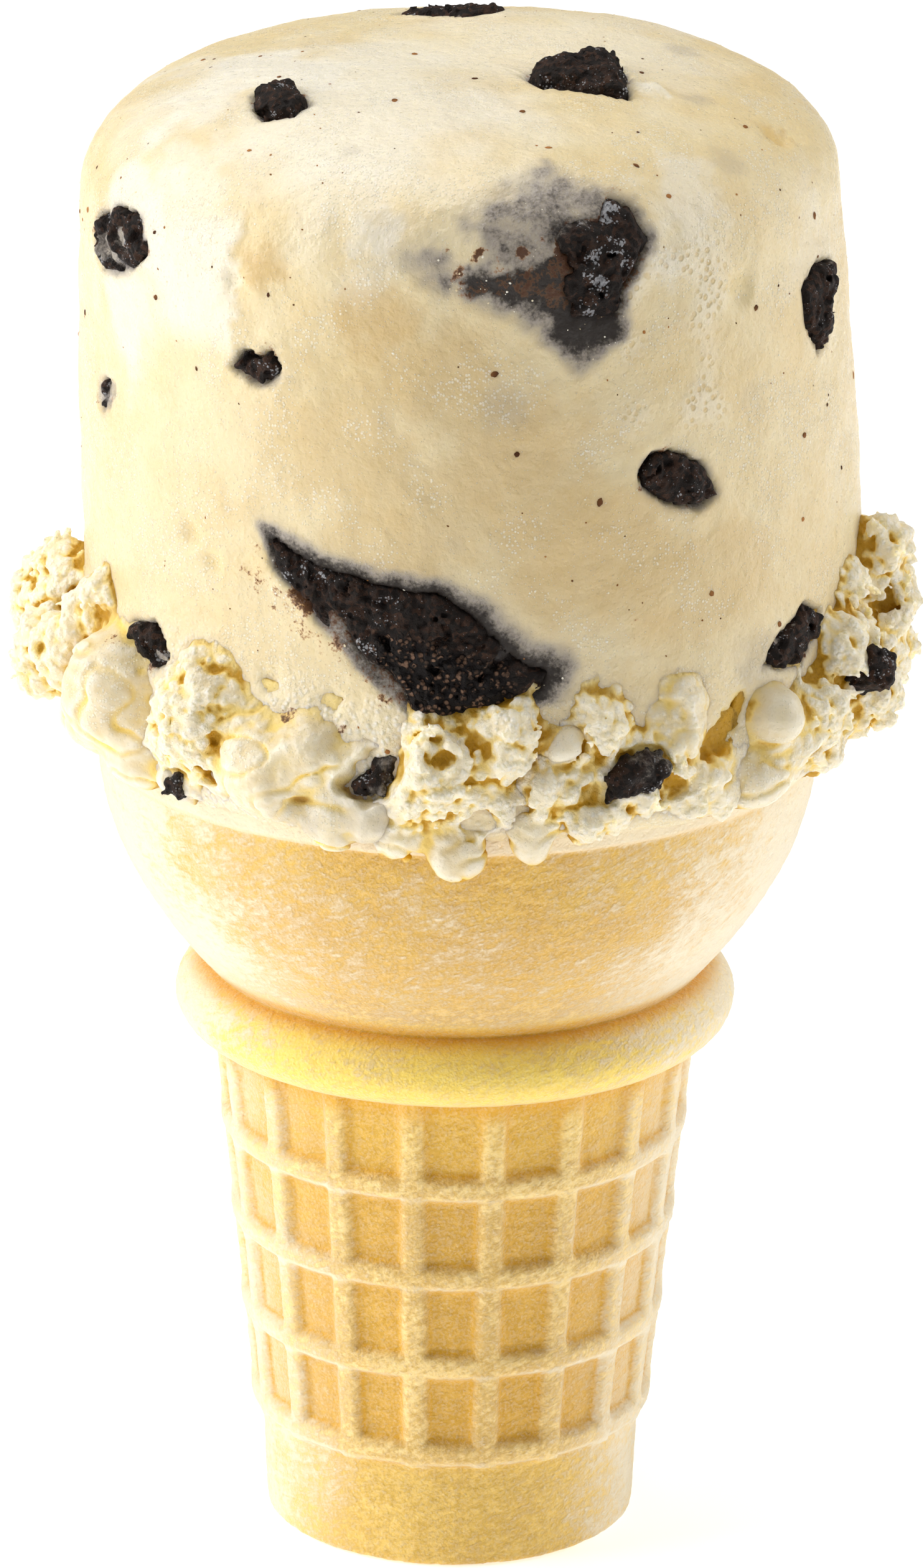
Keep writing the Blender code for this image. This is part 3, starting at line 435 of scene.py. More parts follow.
def sample(grid, points, low, step):
    """A grid's value at each point, blended from the eight places round it."""
    at = np.clip((points - low) / step, 0, np.array(grid.shape) - 1.001)
    first = at.astype(int)
    share = (at - first).T
    total = np.zeros(len(points), np.float32)
    for corner in CORNERS:
        weight = math.prod([part if c else 1 - part for c, part in zip(corner, share)])
        total += weight * grid[tuple((first + corner).T)]
    return total


def crowding(solid, reach, points, low, step):
    """How much of the neighbourhood of each point is solid, `reach` mm each way."""
    return sample(blur(solid.astype(np.float32), max(int(round(reach / step)), 1)), points, low, step)


def soft_min(first, second, reach):
    """The lesser of two distances, rounded where they meet, and the second one's share."""
    share = np.clip(0.5 + 0.5 * (first - second) / reach, 0, 1)
    return first + (second - first) * share - reach * share * (1 - share), share


# ---- node trees

def operation(kind):
    """A method that adds a Math node of a kind."""
    return lambda self, *others: self.apply(kind, *others)


class Term:
    """A number in a node tree, so that a rule is written as arithmetic."""

    def __init__(self, tree, socket):
        self.tree, self.socket = tree, socket

    def apply(self, kind, *others, clamp=False):
        node = self.tree.nodes.new("ShaderNodeMath")
        node.operation, node.use_clamp = kind, clamp
        for index, value in enumerate((self,) + others):
            connect(self.tree, value, node.inputs[index])
        return Term(self.tree, node.outputs[0])

    __add__ = __radd__ = operation("ADD")
    __sub__, __truediv__ = operation("SUBTRACT"), operation("DIVIDE")
    __mul__ = __rmul__ = operation("MULTIPLY")
    power, most, least, size = map(operation, ("POWER", "MAXIMUM", "MINIMUM", "ABSOLUTE"))

    def __rsub__(self, other):
        return self * -1.0 + other

    def clamped(self):
        return self.apply("ADD", 0.0, clamp=True)

    def ease(self, low, high, start=0.0, end=1.0):
        node = self.tree.nodes.new("ShaderNodeMapRange")
        node.interpolation_type = "SMOOTHSTEP"
        names = ("Value", "From Min", "From Max", "To Min", "To Max")
        for name, value in zip(names, (self, low, high, start, end)):
            connect(self.tree, value, node.inputs[name])
        return Term(self.tree, node.outputs[0])


def connect(tree, value, socket):
    """Feed a socket with a term, a node's output, or a plain value."""
    if isinstance(value, Term):
        tree.links.new(value.socket, socket)
    elif isinstance(value, bpy.types.NodeSocket):
        tree.links.new(value, socket)
    else:
        socket.default_value = value


def node_of(tree, kind, settings=None, **inputs):
    """Add a node, set its properties, and feed its inputs by name."""
    node = tree.nodes.new(kind)
    for key, value in (settings or {}).items():
        setattr(node, key, value)
    for key, value in inputs.items():
        connect(tree, value, node.inputs[key.replace("_", " ")])
    return node


def noise_term(tree, vector, size, detail=2.0, rough=0.5, warp=0.0):
    """Noise about 0.5, with bumps `size` mm apart where the vector is in metres."""
    node = node_of(tree, "ShaderNodeTexNoise", Vector=vector, Scale=1.0 / (size * MM), Detail=detail,
                   Roughness=rough, Distortion=warp)
    return Term(tree, node.outputs[0])


def apart_of(tree, vector):
    """A vector's x, y and z as terms."""
    return [Term(tree, socket) for socket in node_of(tree, "ShaderNodeSeparateXYZ", Vector=vector).outputs]


def point_of(tree, *values):
    """A vector from three terms."""
    joined = tree.nodes.new("ShaderNodeCombineXYZ")
    for socket, value in zip(joined.inputs, values):
        connect(tree, value, socket)
    return joined.outputs[0]


def mix_colours(tree, share, first, second):
    """Two colours mixed by a share."""
    node = tree.nodes.new("ShaderNodeMix")
    node.data_type = "RGBA"
    connect(tree, share, node.inputs[0])
    connect(tree, first, node.inputs[6])
    connect(tree, second, node.inputs[7])
    return node.outputs[2]


def rgba(colour):
    return (colour[0], colour[1], colour[2], 1.0)


# ---- finishes

class Finish:
    """A material in the making: its tree, its Object coordinates, and a colour painted layer by layer."""

    def __init__(self, name, colours, first):
        self.material = bpy.data.materials.new(name)
        self.material.use_nodes = True
        self.tree, self.colours, self.colour = self.material.node_tree, colours, rgba(getattr(colours, first))
        self.coords = self.tree.nodes.new("ShaderNodeTexCoord").outputs["Object"]

    def layers(self, *names):
        """The mesh's own values."""
        nodes = [node_of(self.tree, "ShaderNodeAttribute", {"attribute_name": name}) for name in names]
        return [Term(self.tree, node.outputs["Fac"]) for node in nodes]

    def noise(self, *shape):
        return noise_term(self.tree, self.coords, *shape)

    def spots(self, size, randomness=1.0):
        """Distance to scattered points `size` mm apart, over that size."""
        node = node_of(self.tree, "ShaderNodeTexVoronoi", Vector=self.coords, Scale=1.0 / (size * MM),
                       Randomness=randomness)
        return Term(self.tree, node.outputs["Distance"])

    def cells(self, size):
        """Distance to scattered points `size` mm apart, over that size, and a number of each one's own."""
        node = node_of(self.tree, "ShaderNodeTexVoronoi", Vector=self.coords, Scale=1.0 / (size * MM))
        parts = node_of(self.tree, "ShaderNodeSeparateColor", Color=node.outputs["Color"])
        return Term(self.tree, node.outputs["Distance"]), Term(self.tree, parts.outputs[0])

    def paint(self, share, name):
        """Lay a colour over what is painted so far."""
        self.colour = mix_colours(self.tree, share, self.colour, rgba(getattr(self.colours, name)))

    def finished(self, settings, relief=None, distance=0.0):
        """Feed the shader, with relief over the mesh's own if it is given, in mm."""
        shader = self.tree.nodes["Principled BSDF"]
        if "Subsurface Weight" in settings:
            shader.subsurface_method = "BURLEY"
        for name, value in {"Base Color": self.colour, **settings}.items():
            connect(self.tree, value, shader.inputs[name])
        if relief:
            node = node_of(self.tree, "ShaderNodeBump", Strength=1.0, Distance=distance * MM, Height=relief)
            self.tree.links.new(node.outputs["Normal"], shader.inputs["Normal"])
        return self.material


def wafer_finish(colours):
    """Baked wafer: golden panels, paler rubbed ribs, deep toasted edges with painted shade in the creases,
    flour patches with painted light on the flanks, and a fine grain.
    """
    look = Finish("baked_wafer", colours, "panel")
    relief, edge, yolk, rubbed = look.layers("relief", "edge", "yolk", "rubbed")
    broad, middle = look.noise(7.0, 1.0, 0.55), look.noise(1.9, 3.0, 0.65, 0.4)
    fine, grain = look.noise(0.55, 2.0, 0.6), look.noise(0.24, 1.0, 0.6)
    x, y, z = apart_of(look.tree, look.coords)
    strands = point_of(look.tree, x * 0.45, y * 0.45, z * 1.2 - x * 0.5)
    fibre = noise_term(look.tree, strands, 0.6, 3.0, 0.65, 0.6)
    look.paint(relief.ease(0.15, 0.95), "rib")
    toasted = (fibre * 0.4 + middle * 0.2 + fine * 0.35 + broad * 0.2).ease(0.46, 0.66)
    look.paint(toasted * 0.75 + z.ease(0.047, 0.049, 0.0, 0.2), "toast")
    # Painted light: the flanks that face left and right are painted paler with flour, to stand in for the
    # side lamps' light on them.
    lit_flank = x.size() / (x.size() + y.size() + 0.0001)
    flour_and_lit_flank_level = (fibre * 0.6 + middle * 0.3 + broad * 0.4 + fine * 0.4 + rubbed * 0.34
              + lit_flank.ease(0.2, 0.8, -0.05, 0.34))
    flour = flour_and_lit_flank_level.ease(0.85, 1.30) * relief.ease(0.0, 0.3, 0.5, 1.0).most(lit_flank.ease(0.3, 0.8))
    look.paint(flour * 0.85, "flour")
    look.paint((yolk * (1.15 - flour * 0.95 - toasted * 0.3)).clamped() * 0.9, "yolk")
    # Painted shade: the crease colour darkens the rib feet, the neck and the collar's underside as shade,
    # over real toasting.
    look.paint((edge * (0.75 + middle * 0.9)).clamped() * 0.92, "crease")
    crumbs = look.spots(0.42).ease(0.12, 0.4, 1.0, 0.0)
    look.paint((crumbs * 0.4 + fine) * grain.ease(0.42, 0.62) * 0.3, "flour")
    bump = fine * 0.6 + grain * 0.4 + middle * 0.4 + fibre * 0.7 + crumbs * 0.12
    return look.finished({
        "Roughness": fine.ease(0.3, 0.7, 0.5, 0.75), "Subsurface Weight": 0.2, "Subsurface Scale": 0.8 * MM,
        "Subsurface Radius": (1.0, 0.6, 0.25), "Specular IOR Level": 0.4, "Sheen Weight": 0.8,
        "Sheen Roughness": 0.4, "Sheen Tint": (1.0, 0.95, 0.82, 1.0)}, bump, 0.17)


def cream_finish(colours):
    """Vanilla ice cream: waxy milk film that also paints highlights, tan thin spots that also paint shade,
    painted amber shade in the hollows and between torn knobs, granules and foam pores.
    """
    look = Finish("vanilla_ice_cream", colours, "cream")
    hollow, film, tan, foam, grey = look.layers("hollow", "film", "tan", "foam", "grey")
    brown, torn, tone, strewn, buried = look.layers("brown", "torn", "tone", "strewn", "buried")
    fine, cloud, dust = look.noise(0.5, 3.0, 0.6), look.noise(1.3, 3.0, 0.6), look.noise(0.22, 2.0, 0.6)
    net, knobs = look.spots(0.62).ease(0.24, 0.5), look.spots(0.5)
    away, grade = look.cells(0.21)
    beads = (strewn * 0.34 + (grade - 0.5) * 0.7 + 0.06 - away).ease(0.0, 0.32)
    look.paint((tone * 0.65 + fine * 0.35).ease(0.3, 0.72) * 0.75, "butter")
    # Tan paints thin spots, and the shade on the drum's front.
    look.paint((tan + (fine - 0.5) * 0.25 * tan + (cloud - 0.5) * 0.5 * tan).clamped(), "tan")
    # The milk film also paints highlights on the drum's top and left, and on the curds' exposed tips.
    look.paint((film * 0.9 + (cloud - 0.5) * 0.3 * film).clamped(), "milk")
    look.paint(beads * 0.55, "white")
    # Painted shade and highlight: honey between the torn knobs, and white on their tops, which is also frost.
    look.paint(torn * knobs.ease(0.25, 0.6) * 0.25, "honey")
    look.paint(torn * knobs.ease(0.1, 0.6, 1.0, 0.5) * 0.9, "white")
    look.paint(foam * (1.0 - net) * 0.35, "tan")
    look.paint(foam * net * 0.4, "milk")
    # Painted shade: hollows are painted honey, and the deepest ones amber, as the shade inside them.
    deep_shade = (hollow + (fine - 0.5) * 0.2 * hollow).clamped()
    look.paint(deep_shade.ease(0.1, 0.6) * 0.75, "honey")
    look.paint(deep_shade.ease(0.5, 0.9) * 0.95, "amber")
    look.paint((grey + (cloud - 0.5) * 0.6 * grey).clamped() * 0.8, "veil")
    mottle = (cloud - 0.5) * 0.6 + (fine - 0.5) * 0.5 + (dust - 0.5) * 0.45
    shown = buried + mottle * buried.ease(0.05, 0.4) * buried.ease(0.6, 1.0, 1.0, 0.6)
    look.paint((buried + mottle * 0.4 * buried).ease(0.0, 0.5) * 0.94, "veil")
    look.paint(shown.ease(0.32, 0.84) * 0.97, "veil_dark")
    stray = (cloud - 0.5) * 1.2 + (fine - 0.5) * 1.2 + (dust - 0.5)
    streaks = (brown + stray * brown.ease(0.0, 0.3)).ease(0.3, 0.85)
    look.paint(streaks.ease(0.0, 0.6) * buried.ease(0.25, 0.7, 0.75, 0.22), "speck")
    look.paint(streaks.ease(0.35, 1.0) * 0.9, "stain")
    bump = (beads * 0.4 + fine * 0.8 + cloud * 1.3 + foam * net * 0.8
            + torn * (knobs.ease(0.0, 0.6, 1.0, 0.0) * 1.3 + fine * 0.8))
    return look.finished({
        "Roughness": (fine.ease(0.3, 0.7, 0.26, 0.46) + deep_shade * 0.3 + shown.ease(0.3, 0.8) * 0.3).clamped(),
        "Subsurface Weight": 0.8, "Subsurface Radius": (1.0, 0.92, 0.4), "Subsurface Scale": 0.9 * MM,
        "Specular IOR Level": 0.6, "IOR": 1.4}, bump, 0.15)


def biscuit_finish(colours):
    """Dark crumbly biscuit: black-brown crumb with painted shade in its pits, pale frost grains and a grey
    veil of milk.
    """
    look = Finish("dark_biscuit", colours, "biscuit")
    veil, frost, pore, crumbly = look.layers("veil", "frost", "pore", "crumbly")
    fine, dust = look.noise(0.4, 3.0, 0.65), look.noise(0.16, 2.0, 0.6)
    crumbs, (_, grade) = look.spots(0.45), look.cells(0.42)
    look.paint((fine * 0.6 + grade * 0.5).ease(0.45, 0.85), "crumb")
    look.paint(crumbly * crumbs.ease(0.2, 0.5, 1.0, 0.0) * grade.ease(0.2, 0.7), "grit")
    voids = crumbly * (crumbs + (fine - 0.5) * 0.5).ease(0.42, 0.62)
    # Pits and voids take the pore colour, painted shade in them.
    look.paint(pore.most(voids), "pore")
    spread = frost * (0.2 + look.noise(1.6, 2.0, 0.6).ease(0.42, 0.62) * 0.55)
    grains = (spread + (grade - 0.5) * 0.3 - look.spots(0.26, 0.9)).ease(0.0, 0.14)
    look.paint(grains * (dust * 0.8 + 0.2), "frost")
    ragged = veil + (fine - 0.5) * 0.7 + (grade - 0.5) * 0.12
    look.paint(ragged.ease(0.12, 0.62) * 0.55, "veil_dark")
    look.paint(ragged.ease(0.45, 1.0) * 0.85, "veil")
    look.paint(ragged.ease(0.85, 1.25), "cream")
    bump = crumbs * 0.5 + fine * 1.1 + grains * 0.6 + dust * 0.7 - voids * 2.0 - crumbly * crumbs * 1.2
    roughness = ragged.ease(0.2, 0.9, 0.72, 0.4)
    return look.finished({"Roughness": roughness, "Specular IOR Level": 0.24}, bump, 0.17)


def grain_finish(colours, name, first, second, gloss):
    """Specks and granules: two colours that change from one to the next."""
    look = Finish(name, colours, first)
    look.paint(look.noise(2.6, 1.0).ease(0.35, 0.65), second)
    return look.finished({"Roughness": 1.0 - gloss, "Specular IOR Level": gloss})


def floor_finish(colours):
    """A plain pale floor."""
    look = Finish("pale_floor", colours, "floor")
    tone = look.noise(60.0, 2.0).ease(0.3, 0.7, 0.0, 0.12)
    look.colour = mix_colours(look.tree, tone, look.colour, (0.93, 0.93, 0.93, 1.0))
    look.material.cycles.emission_sampling = "NONE"
    return look.finished({"Roughness": 0.9, "Specular IOR Level": 0.0, "Emission Color": (1.0, 1.0, 1.0, 1.0),
                          "Emission Strength": 0.5})


# ---- wafer cup

def start_tree(name, values):
    """A Geometry Nodes tree with a named input for each value, and a maker of the inputs' terms."""
    tree = bpy.data.node_groups.new(name, "GeometryNodeTree")
    tree.interface.new_socket("Geometry", in_out="INPUT", socket_type="NodeSocketGeometry")
    for label, value in values.items():
        kind = {int: "NodeSocketInt", float: "NodeSocketFloat"}.get(type(value), "NodeSocketObject")
        tree.interface.new_socket(label, in_out="INPUT", socket_type=kind)
    tree.interface.new_socket("Geometry", in_out="OUTPUT", socket_type="NodeSocketGeometry")
    inputs = tree.nodes.new("NodeGroupInput")
    return tree, lambda label: Term(tree, inputs.outputs[label])


def grow(name, rule, material, values):
    """Run a rule's tree on an empty mesh with values for its named inputs, and return a plain object."""
    tree = rule(material, values)
    thing = add_object(name, bpy.data.meshes.new(name))
    step = thing.modifiers.new("grow", "NODES")
    step.node_group = tree
    for item in tree.interface.items_tree:
        if item.item_type == "SOCKET" and item.in_out == "INPUT" and item.name in values:
            step[item.identifier] = values[item.name]
    bpy.context.view_layer.update()
    ready = thing.evaluated_get(bpy.context.evaluated_depsgraph_get())
    mesh = bpy.data.meshes.new_from_object(ready)
    if len(mesh.polygons) == 0:
        raise RuntimeError(f"{name}: its node tree made nothing")
    thing.modifiers.remove(step)
    thing.data = mesh
    mesh.name = name
    return thing


def tree_end(tree, geometry, material):
    """Realize Instances and Set Material, the last two steps of each tree."""
    real = node_of(tree, "GeometryNodeRealizeInstances", Geometry=geometry)
    dressed = node_of(tree, "GeometryNodeSetMaterial", Geometry=real.outputs[0], Material=material)
    tree.links.new(dressed.outputs[0], tree.nodes.new("NodeGroupOutput").inputs[0])
    return tree


def turned_start(tree, term, fill):
    """A unit drum of Columns by Rows: its mesh, x, y, share of height and azimuth as terms."""
    drum = node_of(tree, "GeometryNodeMeshCylinder", {"fill_type": "TRIANGLE_FAN"}, Vertices=term("Columns"),
                   Side_Segments=term("Rows"), Fill_Segments=fill, Radius=1.0, Depth=1.0)
    x, y, z = apart_of(tree, tree.nodes.new("GeometryNodeInputPosition").outputs[0])
    return drum.outputs["Mesh"], x, y, z + 0.5, x.apply("ARCTAN2", y * -1.0)


def turned_end(tree, mesh, place, layers, material):
    """Store the values that the finish reads for each point, set the points' places, and smooth the mesh."""
    for name, value in layers.items():
        mesh = node_of(tree, "GeometryNodeStoreNamedAttribute", {"data_type": "FLOAT", "domain": "POINT"},
                       Geometry=mesh, Name=name, Value=value).outputs[0]
    moved = node_of(tree, "GeometryNodeSetPosition", Geometry=mesh, Position=point_of(tree, *place))
    smooth = node_of(tree, "GeometryNodeSetShadeSmooth", Geometry=moved.outputs[0])
    return tree_end(tree, smooth.outputs[0], material)


def stem_tree(material, values):
    """The stem's rule: a plain band, then upright and level ribs over flat sunken panels."""
    tree, term = start_tree("wafer_stem", values)
    mesh, x, y, share, azimuth = turned_start(tree, term, 2)
    height = share * term("Height")
    crest = term("Radius") + height * term("Taper")
    spot = point_of(tree, x * crest, y * crest, height)
    wander = noise_term(tree, spot, 3.0, 3.0) - 0.5
    nibble = noise_term(tree, point_of(tree, y * crest, x * crest, height), 0.7, 2.0) - 0.5
    skin = noise_term(tree, spot, 0.9, 3.0, 0.6) - 0.5
    turn = azimuth * term("Rib count") / math.tau
    off = ((turn - turn.apply("FLOOR")) - 0.5).size() * math.tau / term("Rib count") * crest
    off = off + wander * 0.00035 + nibble * 0.00022
    rib = off.ease(term("Rib crest") * 0.5, term("Rib foot") * 0.5, 1.0, 0.0)
    order = ((height - term("Hoop first")) / term("Hoop pitch")).apply("ROUND")
    order = order.most(0.0).least(term("Hoop count") - 1.0)
    drop = (height - term("Hoop first") - order * term("Hoop pitch")).size()
    drop = drop + wander * 0.0003 + nibble * 0.0002
    hoop = drop.ease(term("Hoop crest") * 0.4, term("Hoop foot") * 0.5, 1.0, 0.0)
    dome = (1.0 - (drop / (term("Hoop foot") * 0.5)).power(2.0)).most(0.0)
    relief = rib.most(hoop)
    radius = crest - term("Panel depth") * (1.0 - relief) + term("Hoop proud") * dome * 0.8
    low = (1.0 - (height / term("Fillet"))).most(0.0).least(1.0)
    band = (term("Band radius") + height * BAND_TAPER
            - term("Fillet") * (1.0 - (1.0 - low.power(2.0)).most(0.0).power(0.5)))
    upper = (height + nibble * 0.0002).ease(term("Band top") - 0.0003, term("Band top") + 0.0001)
    seam = ((azimuth - 0.025).size() * crest).ease(0.0, 0.00035, 1.0, 0.0)
    radius = band + (radius - band) * upper + (skin * 1.3 + wander) * term("Unevenness") + seam * 0.00006
    ragged = (1.0 - (height / 0.0012)).most(0.0) * (wander * 0.0006 + nibble * 0.0003)
    # Painted shade: the feet of the ribs and the stem just under the collar are marked to take the crease
    # colour as shade.
    foot = 1.0 - (relief - 0.18).size().ease(0.0, 0.3)
    under = height.ease(0.0386, 0.0406) * (1.0 - hoop)
    above = height - (term("Hoop first") + order * term("Hoop pitch"))
    return turned_end(tree, mesh, (x * radius, y * radius, height + ragged.most(0.0)), {
        "relief": (1.0 - upper) * 0.45 + relief * upper,
        "edge": (foot * upper * 0.75).most(under * 0.7),
        "rubbed": hoop * above.ease(-0.0009, -0.0004, 1.0, 0.0),
        "yolk": (height.ease(0.030, 0.041) * 0.3).most((1.0 - upper) * 0.3).most(relief * upper * 0.1)
    }, material)


def collar_radius(height):
    """Radius of the rounded collar."""
    share = (height - COLLAR_LOW) / (NECK_HEIGHT - COLLAR_LOW)
    low = STEM_RADIUS + STEM_TAPER * COLLAR_LOW
    plain = low + (NECK_RADIUS - low) * share
    turn = math.acos(min(max(1 - 2 * share, -1), 1))
    return plain + (COLLAR_RADIUS - plain) * math.sin(turn) ** COLLAR_ROUND


def bowl_radius(height):
    """Outer radius of the bowl."""
    share = min(max((height - NECK_HEIGHT) / (BOWL_HEIGHT - NECK_HEIGHT), 0.0), 1.0)
    return NECK_RADIUS + (BOWL_RADIUS - NECK_RADIUS) * (1.0 - (1.0 - share) ** BOWL_POWER)


def bowl_profile():
    """The line that the collar, bowl, lip and inner wall are turned from, as (radius, height)."""
    line = [(STEM_RADIUS + STEM_TAPER * COLLAR_LOW - 1.2, COLLAR_LOW - 0.05)]
    half = 0.5 * (NECK_HEIGHT - COLLAR_LOW)
    for step in range(1, 25):
        height = COLLAR_LOW + half * (1.0 - math.cos(math.pi * step / 25))
        line.append((collar_radius(height), height))
    for step in range(0, 41):
        height = NECK_HEIGHT + (BOWL_HEIGHT - NECK_HEIGHT) * step / 40
        line.append((bowl_radius(height), height))
    line += [(LIP_RADIUS - 0.08, BOWL_HEIGHT + 0.12), (LIP_RADIUS, BOWL_HEIGHT + 0.35)]
    line += [(LIP_RADIUS - inward, LIP_TOP - down) for inward, down in (
        (0, 0.5), (0.15, 0.15), (0.5, 0), (WALL - 0.5, 0), (WALL, 0.4))]
    for step in range(INNER_ROWS, -1, -1):
        height = BOWL_FLOOR + (BOWL_HEIGHT - BOWL_FLOOR) * step / INNER_ROWS
        line.append((bowl_radius(height) - WALL, height))
    return line


def bowl_tree(material, values):
    """The bowl's rule: a line turned round the axis, with a mottled, faintly wavy skin."""
    tree, term = start_tree("wafer_bowl", values)
    mesh, x, y, share, _ = turned_start(tree, term, 1)
    cut, outer = term("Outer rows"), term("Outer share")
    along = (share / cut).least(1.0) * outer + ((share - cut) / (1.0 - cut)).most(0.0) * (1.0 - outer)
    line = node_of(tree, "GeometryNodeObjectInfo", Object=term("Profile"))
    taken = node_of(tree, "GeometryNodeSampleCurve", {"mode": "FACTOR", "use_all_curves": True},
                    Curves=line.outputs["Geometry"], Factor=along)
    radius, _, height = apart_of(tree, taken.outputs["Position"])
    spot = point_of(tree, x * radius, y * radius, height)
    wander = noise_term(tree, spot, 4.0, 3.0) - 0.5
    skin = noise_term(tree, spot, 0.9, 3.0, 0.6) - 0.5
    strands = point_of(tree, x * radius * 0.35, y * radius * 0.35, height * 1.6)
    waves = noise_term(tree, strands, 0.9, 2.0, 0.5, 0.6) - 0.5
    bowl = height.ease(0.048, 0.052)
    lip_foot, collar = BOWL_HEIGHT * MM, COLLAR_LOW * MM
    lip = height.ease(lip_foot - 0.0001, lip_foot + 0.0002)
    rise = (skin * 1.1 + wander * 1.2 + waves * bowl) * term("Unevenness")
    # Painted shade: the neck crease, the collar's underside and the lip's foot are marked to take the crease
    # colour as shade.
    crease = (height - (NECK_HEIGHT + 0.3) * MM).size().ease(0.0, 0.0014, 1.0, 0.0)
    under = height.ease(collar, collar + 0.0008, 1.0, 0.0)
    rim = (height - lip_foot - 0.0001).size().ease(0.0, 0.0003, 0.3, 0.0)
    stray = (wander * 0.5 + height.ease(0.056, 0.064, 0.0, 0.15)).most(0.0)
    place = (x * (radius + rise), y * (radius + rise), height + lip * wander * 0.0004)
    return turned_end(tree, mesh, place, {
        "edge": crease.most(under).most(rim),
        "relief": bowl * 0.3 + lip * 0.7 + (1.0 - bowl) * 0.95,
        "rubbed": (lip * 1.5).most(height.ease(0.0410, 0.0462, 0.0, 0.3)).most(
            bowl * (1.0 - lip) * height.ease(0.050, 0.060, 0.5, 0.1)),
        "yolk": height.ease(0.0466, 0.0490, 0.95, 0.0) + bowl * stray * (1.0 - lip)}, material)


def make_wafer_cup(sizes, material):
    """The stem and the bowl, which overlap in the collar's underside."""
    given = {key.replace("_", " ").capitalize(): getattr(sizes, key)
             for key in ConeWaferSizes.__annotations__}
    stem = grow("wafer_stem", stem_tree, material, {
        **given, "Columns": 24 * sizes.rib_count, "Rows": 184,
        "Height": (COLLAR_LOW + 1.2) * MM, "Radius": STEM_RADIUS * MM, "Taper": STEM_TAPER,
        "Band radius": BAND_RADIUS * MM, "Band top": BAND_TOP * MM, "Fillet": 0.5 * BASE_FILLET * MM})
    line = bpy.data.curves.new("bowl_profile", "CURVE")
    line.dimensions = "3D"
    spline = line.splines.new("POLY")
    profile = bowl_profile()
    spline.points.add(len(profile) - 1)
    for point, (radius, height) in zip(spline.points, profile):
        point.co = (radius * MM, 0.0, height * MM, 1.0)
    guide = add_object("bowl_profile", line)
    lengths = [math.dist(a, b) for a, b in zip(profile, profile[1:])]
    bowl = grow("wafer_bowl", bowl_tree, material, {
        "Profile": guide, "Columns": 440, "Rows": 170, "Outer rows": 0.93,
        "Outer share": sum(lengths[:-INNER_ROWS - 1]) / sum(lengths), "Unevenness": sizes.unevenness})
    bpy.data.objects.remove(guide, do_unlink=True)
    bpy.data.curves.remove(line)
    for piece in (stem, bowl):
        dress(piece, "wafer_cup")


# ---- ice cream: the drum

def drum_place(azimuth, radius, height):
    """Points of the drum, leaning above its foot, from an azimuth in radians, a radius and a height."""
    far = radius * (1.0 + DRUM_OVAL * np.cos(2 * azimuth))
    x, y = far * np.sin(azimuth), -far * np.cos(azimuth)
    rise = np.clip((height - SHOULDER_HEIGHT) / (DRUM_TOP - SHOULDER_HEIGHT), 0, 1)
    z = height + TOP_TILT * x * rise
    return np.stack([x + DRUM_X + DRUM_LEAN * np.maximum(height - DRUM_FOOT, 0), y + DRUM_Y, z], -1)


def shoulder_height(azimuth):
    return SHOULDER_HEIGHT + SHOULDER_RIGHT * np.sin(azimuth) + SHOULDER_FRONT * np.cos(azimuth)


def shoulder_power(azimuth):
    return SHOULDER_POWER + SHOULDER_POWER_RIGHT * np.sin(azimuth) + SHOULDER_POWER_FRONT * np.cos(azimuth)


def drum_wall_radius(azimuth, height):
    share = np.clip((height - DRUM_FOOT) / (shoulder_height(azimuth) - DRUM_FOOT), 0, 1)
    return DRUM_FOOT_RADIUS + (DRUM_SHOULDER_RADIUS - DRUM_FOOT_RADIUS) * share ** 2.2


def round_axis(points, height):
    """Azimuth, distance and oval stretch round the leaning axis, at a height before the top's tilt."""
    x = points[..., 0] - DRUM_X - DRUM_LEAN * np.maximum(height - DRUM_FOOT, 0)
    y = points[..., 1] - DRUM_Y
    azimuth = np.arctan2(x, -y)
    return azimuth, np.sqrt(x * x + y * y), 1 + DRUM_OVAL * np.cos(2 * azimuth)


def wall_distance(points):
    """How far points near the drum's foot and wall lie outside its plain surface."""
    azimuth, away, oval = round_axis(points, points[..., 2])
    return away - drum_wall_radius(azimuth, points[..., 2]) * oval


def drum_outside(points):
    """Above 0 outside the whole drum, below 0 inside."""
    rise = np.clip((points[..., 2] - SHOULDER_HEIGHT) / (DRUM_TOP - SHOULDER_HEIGHT), 0, 1)
    height = points[..., 2] - TOP_TILT * (points[..., 0] - DRUM_X) * rise
    azimuth, away, oval = round_axis(points, height)
    low = shoulder_height(azimuth)
    over = np.clip((height - low) / (DRUM_TOP - low), 0, None)
    wall = away / oval / drum_wall_radius(azimuth, height)
    return over ** DOME_POWER + np.clip(wall, 0, None) ** shoulder_power(azimuth) - 1.0


def drum_relief(points, softness):
    """Soft hollows and swells of the drum, in mm along its way out."""
    lift = softness * (0.26 * soft_noise(points, 15.0, 1) + 0.17 * soft_noise(points, 6.0, 2))
    lift += 0.07 * soft_noise(points, 2.4, 3)
    for x, y, z, radius, height in SWELLS:
        off = (points - np.array((x, y, z), np.float32)) / radius
        lift += height * np.exp(-(off ** 2).sum(-1))
    return lift


def drum_lift(points, normal, reach=6.0):
    """How far along a way out the drum's surface lies over each point."""
    low = np.full(points.shape[:-1], -reach)
    high = np.full(points.shape[:-1], reach)
    for _ in range(26):
        middle = 0.5 * (low + high)
        out = drum_outside(points + middle[..., None] * normal) > 0
        high = np.where(out, middle, high)
        low = np.where(out, low, middle)
    return 0.5 * (low + high)


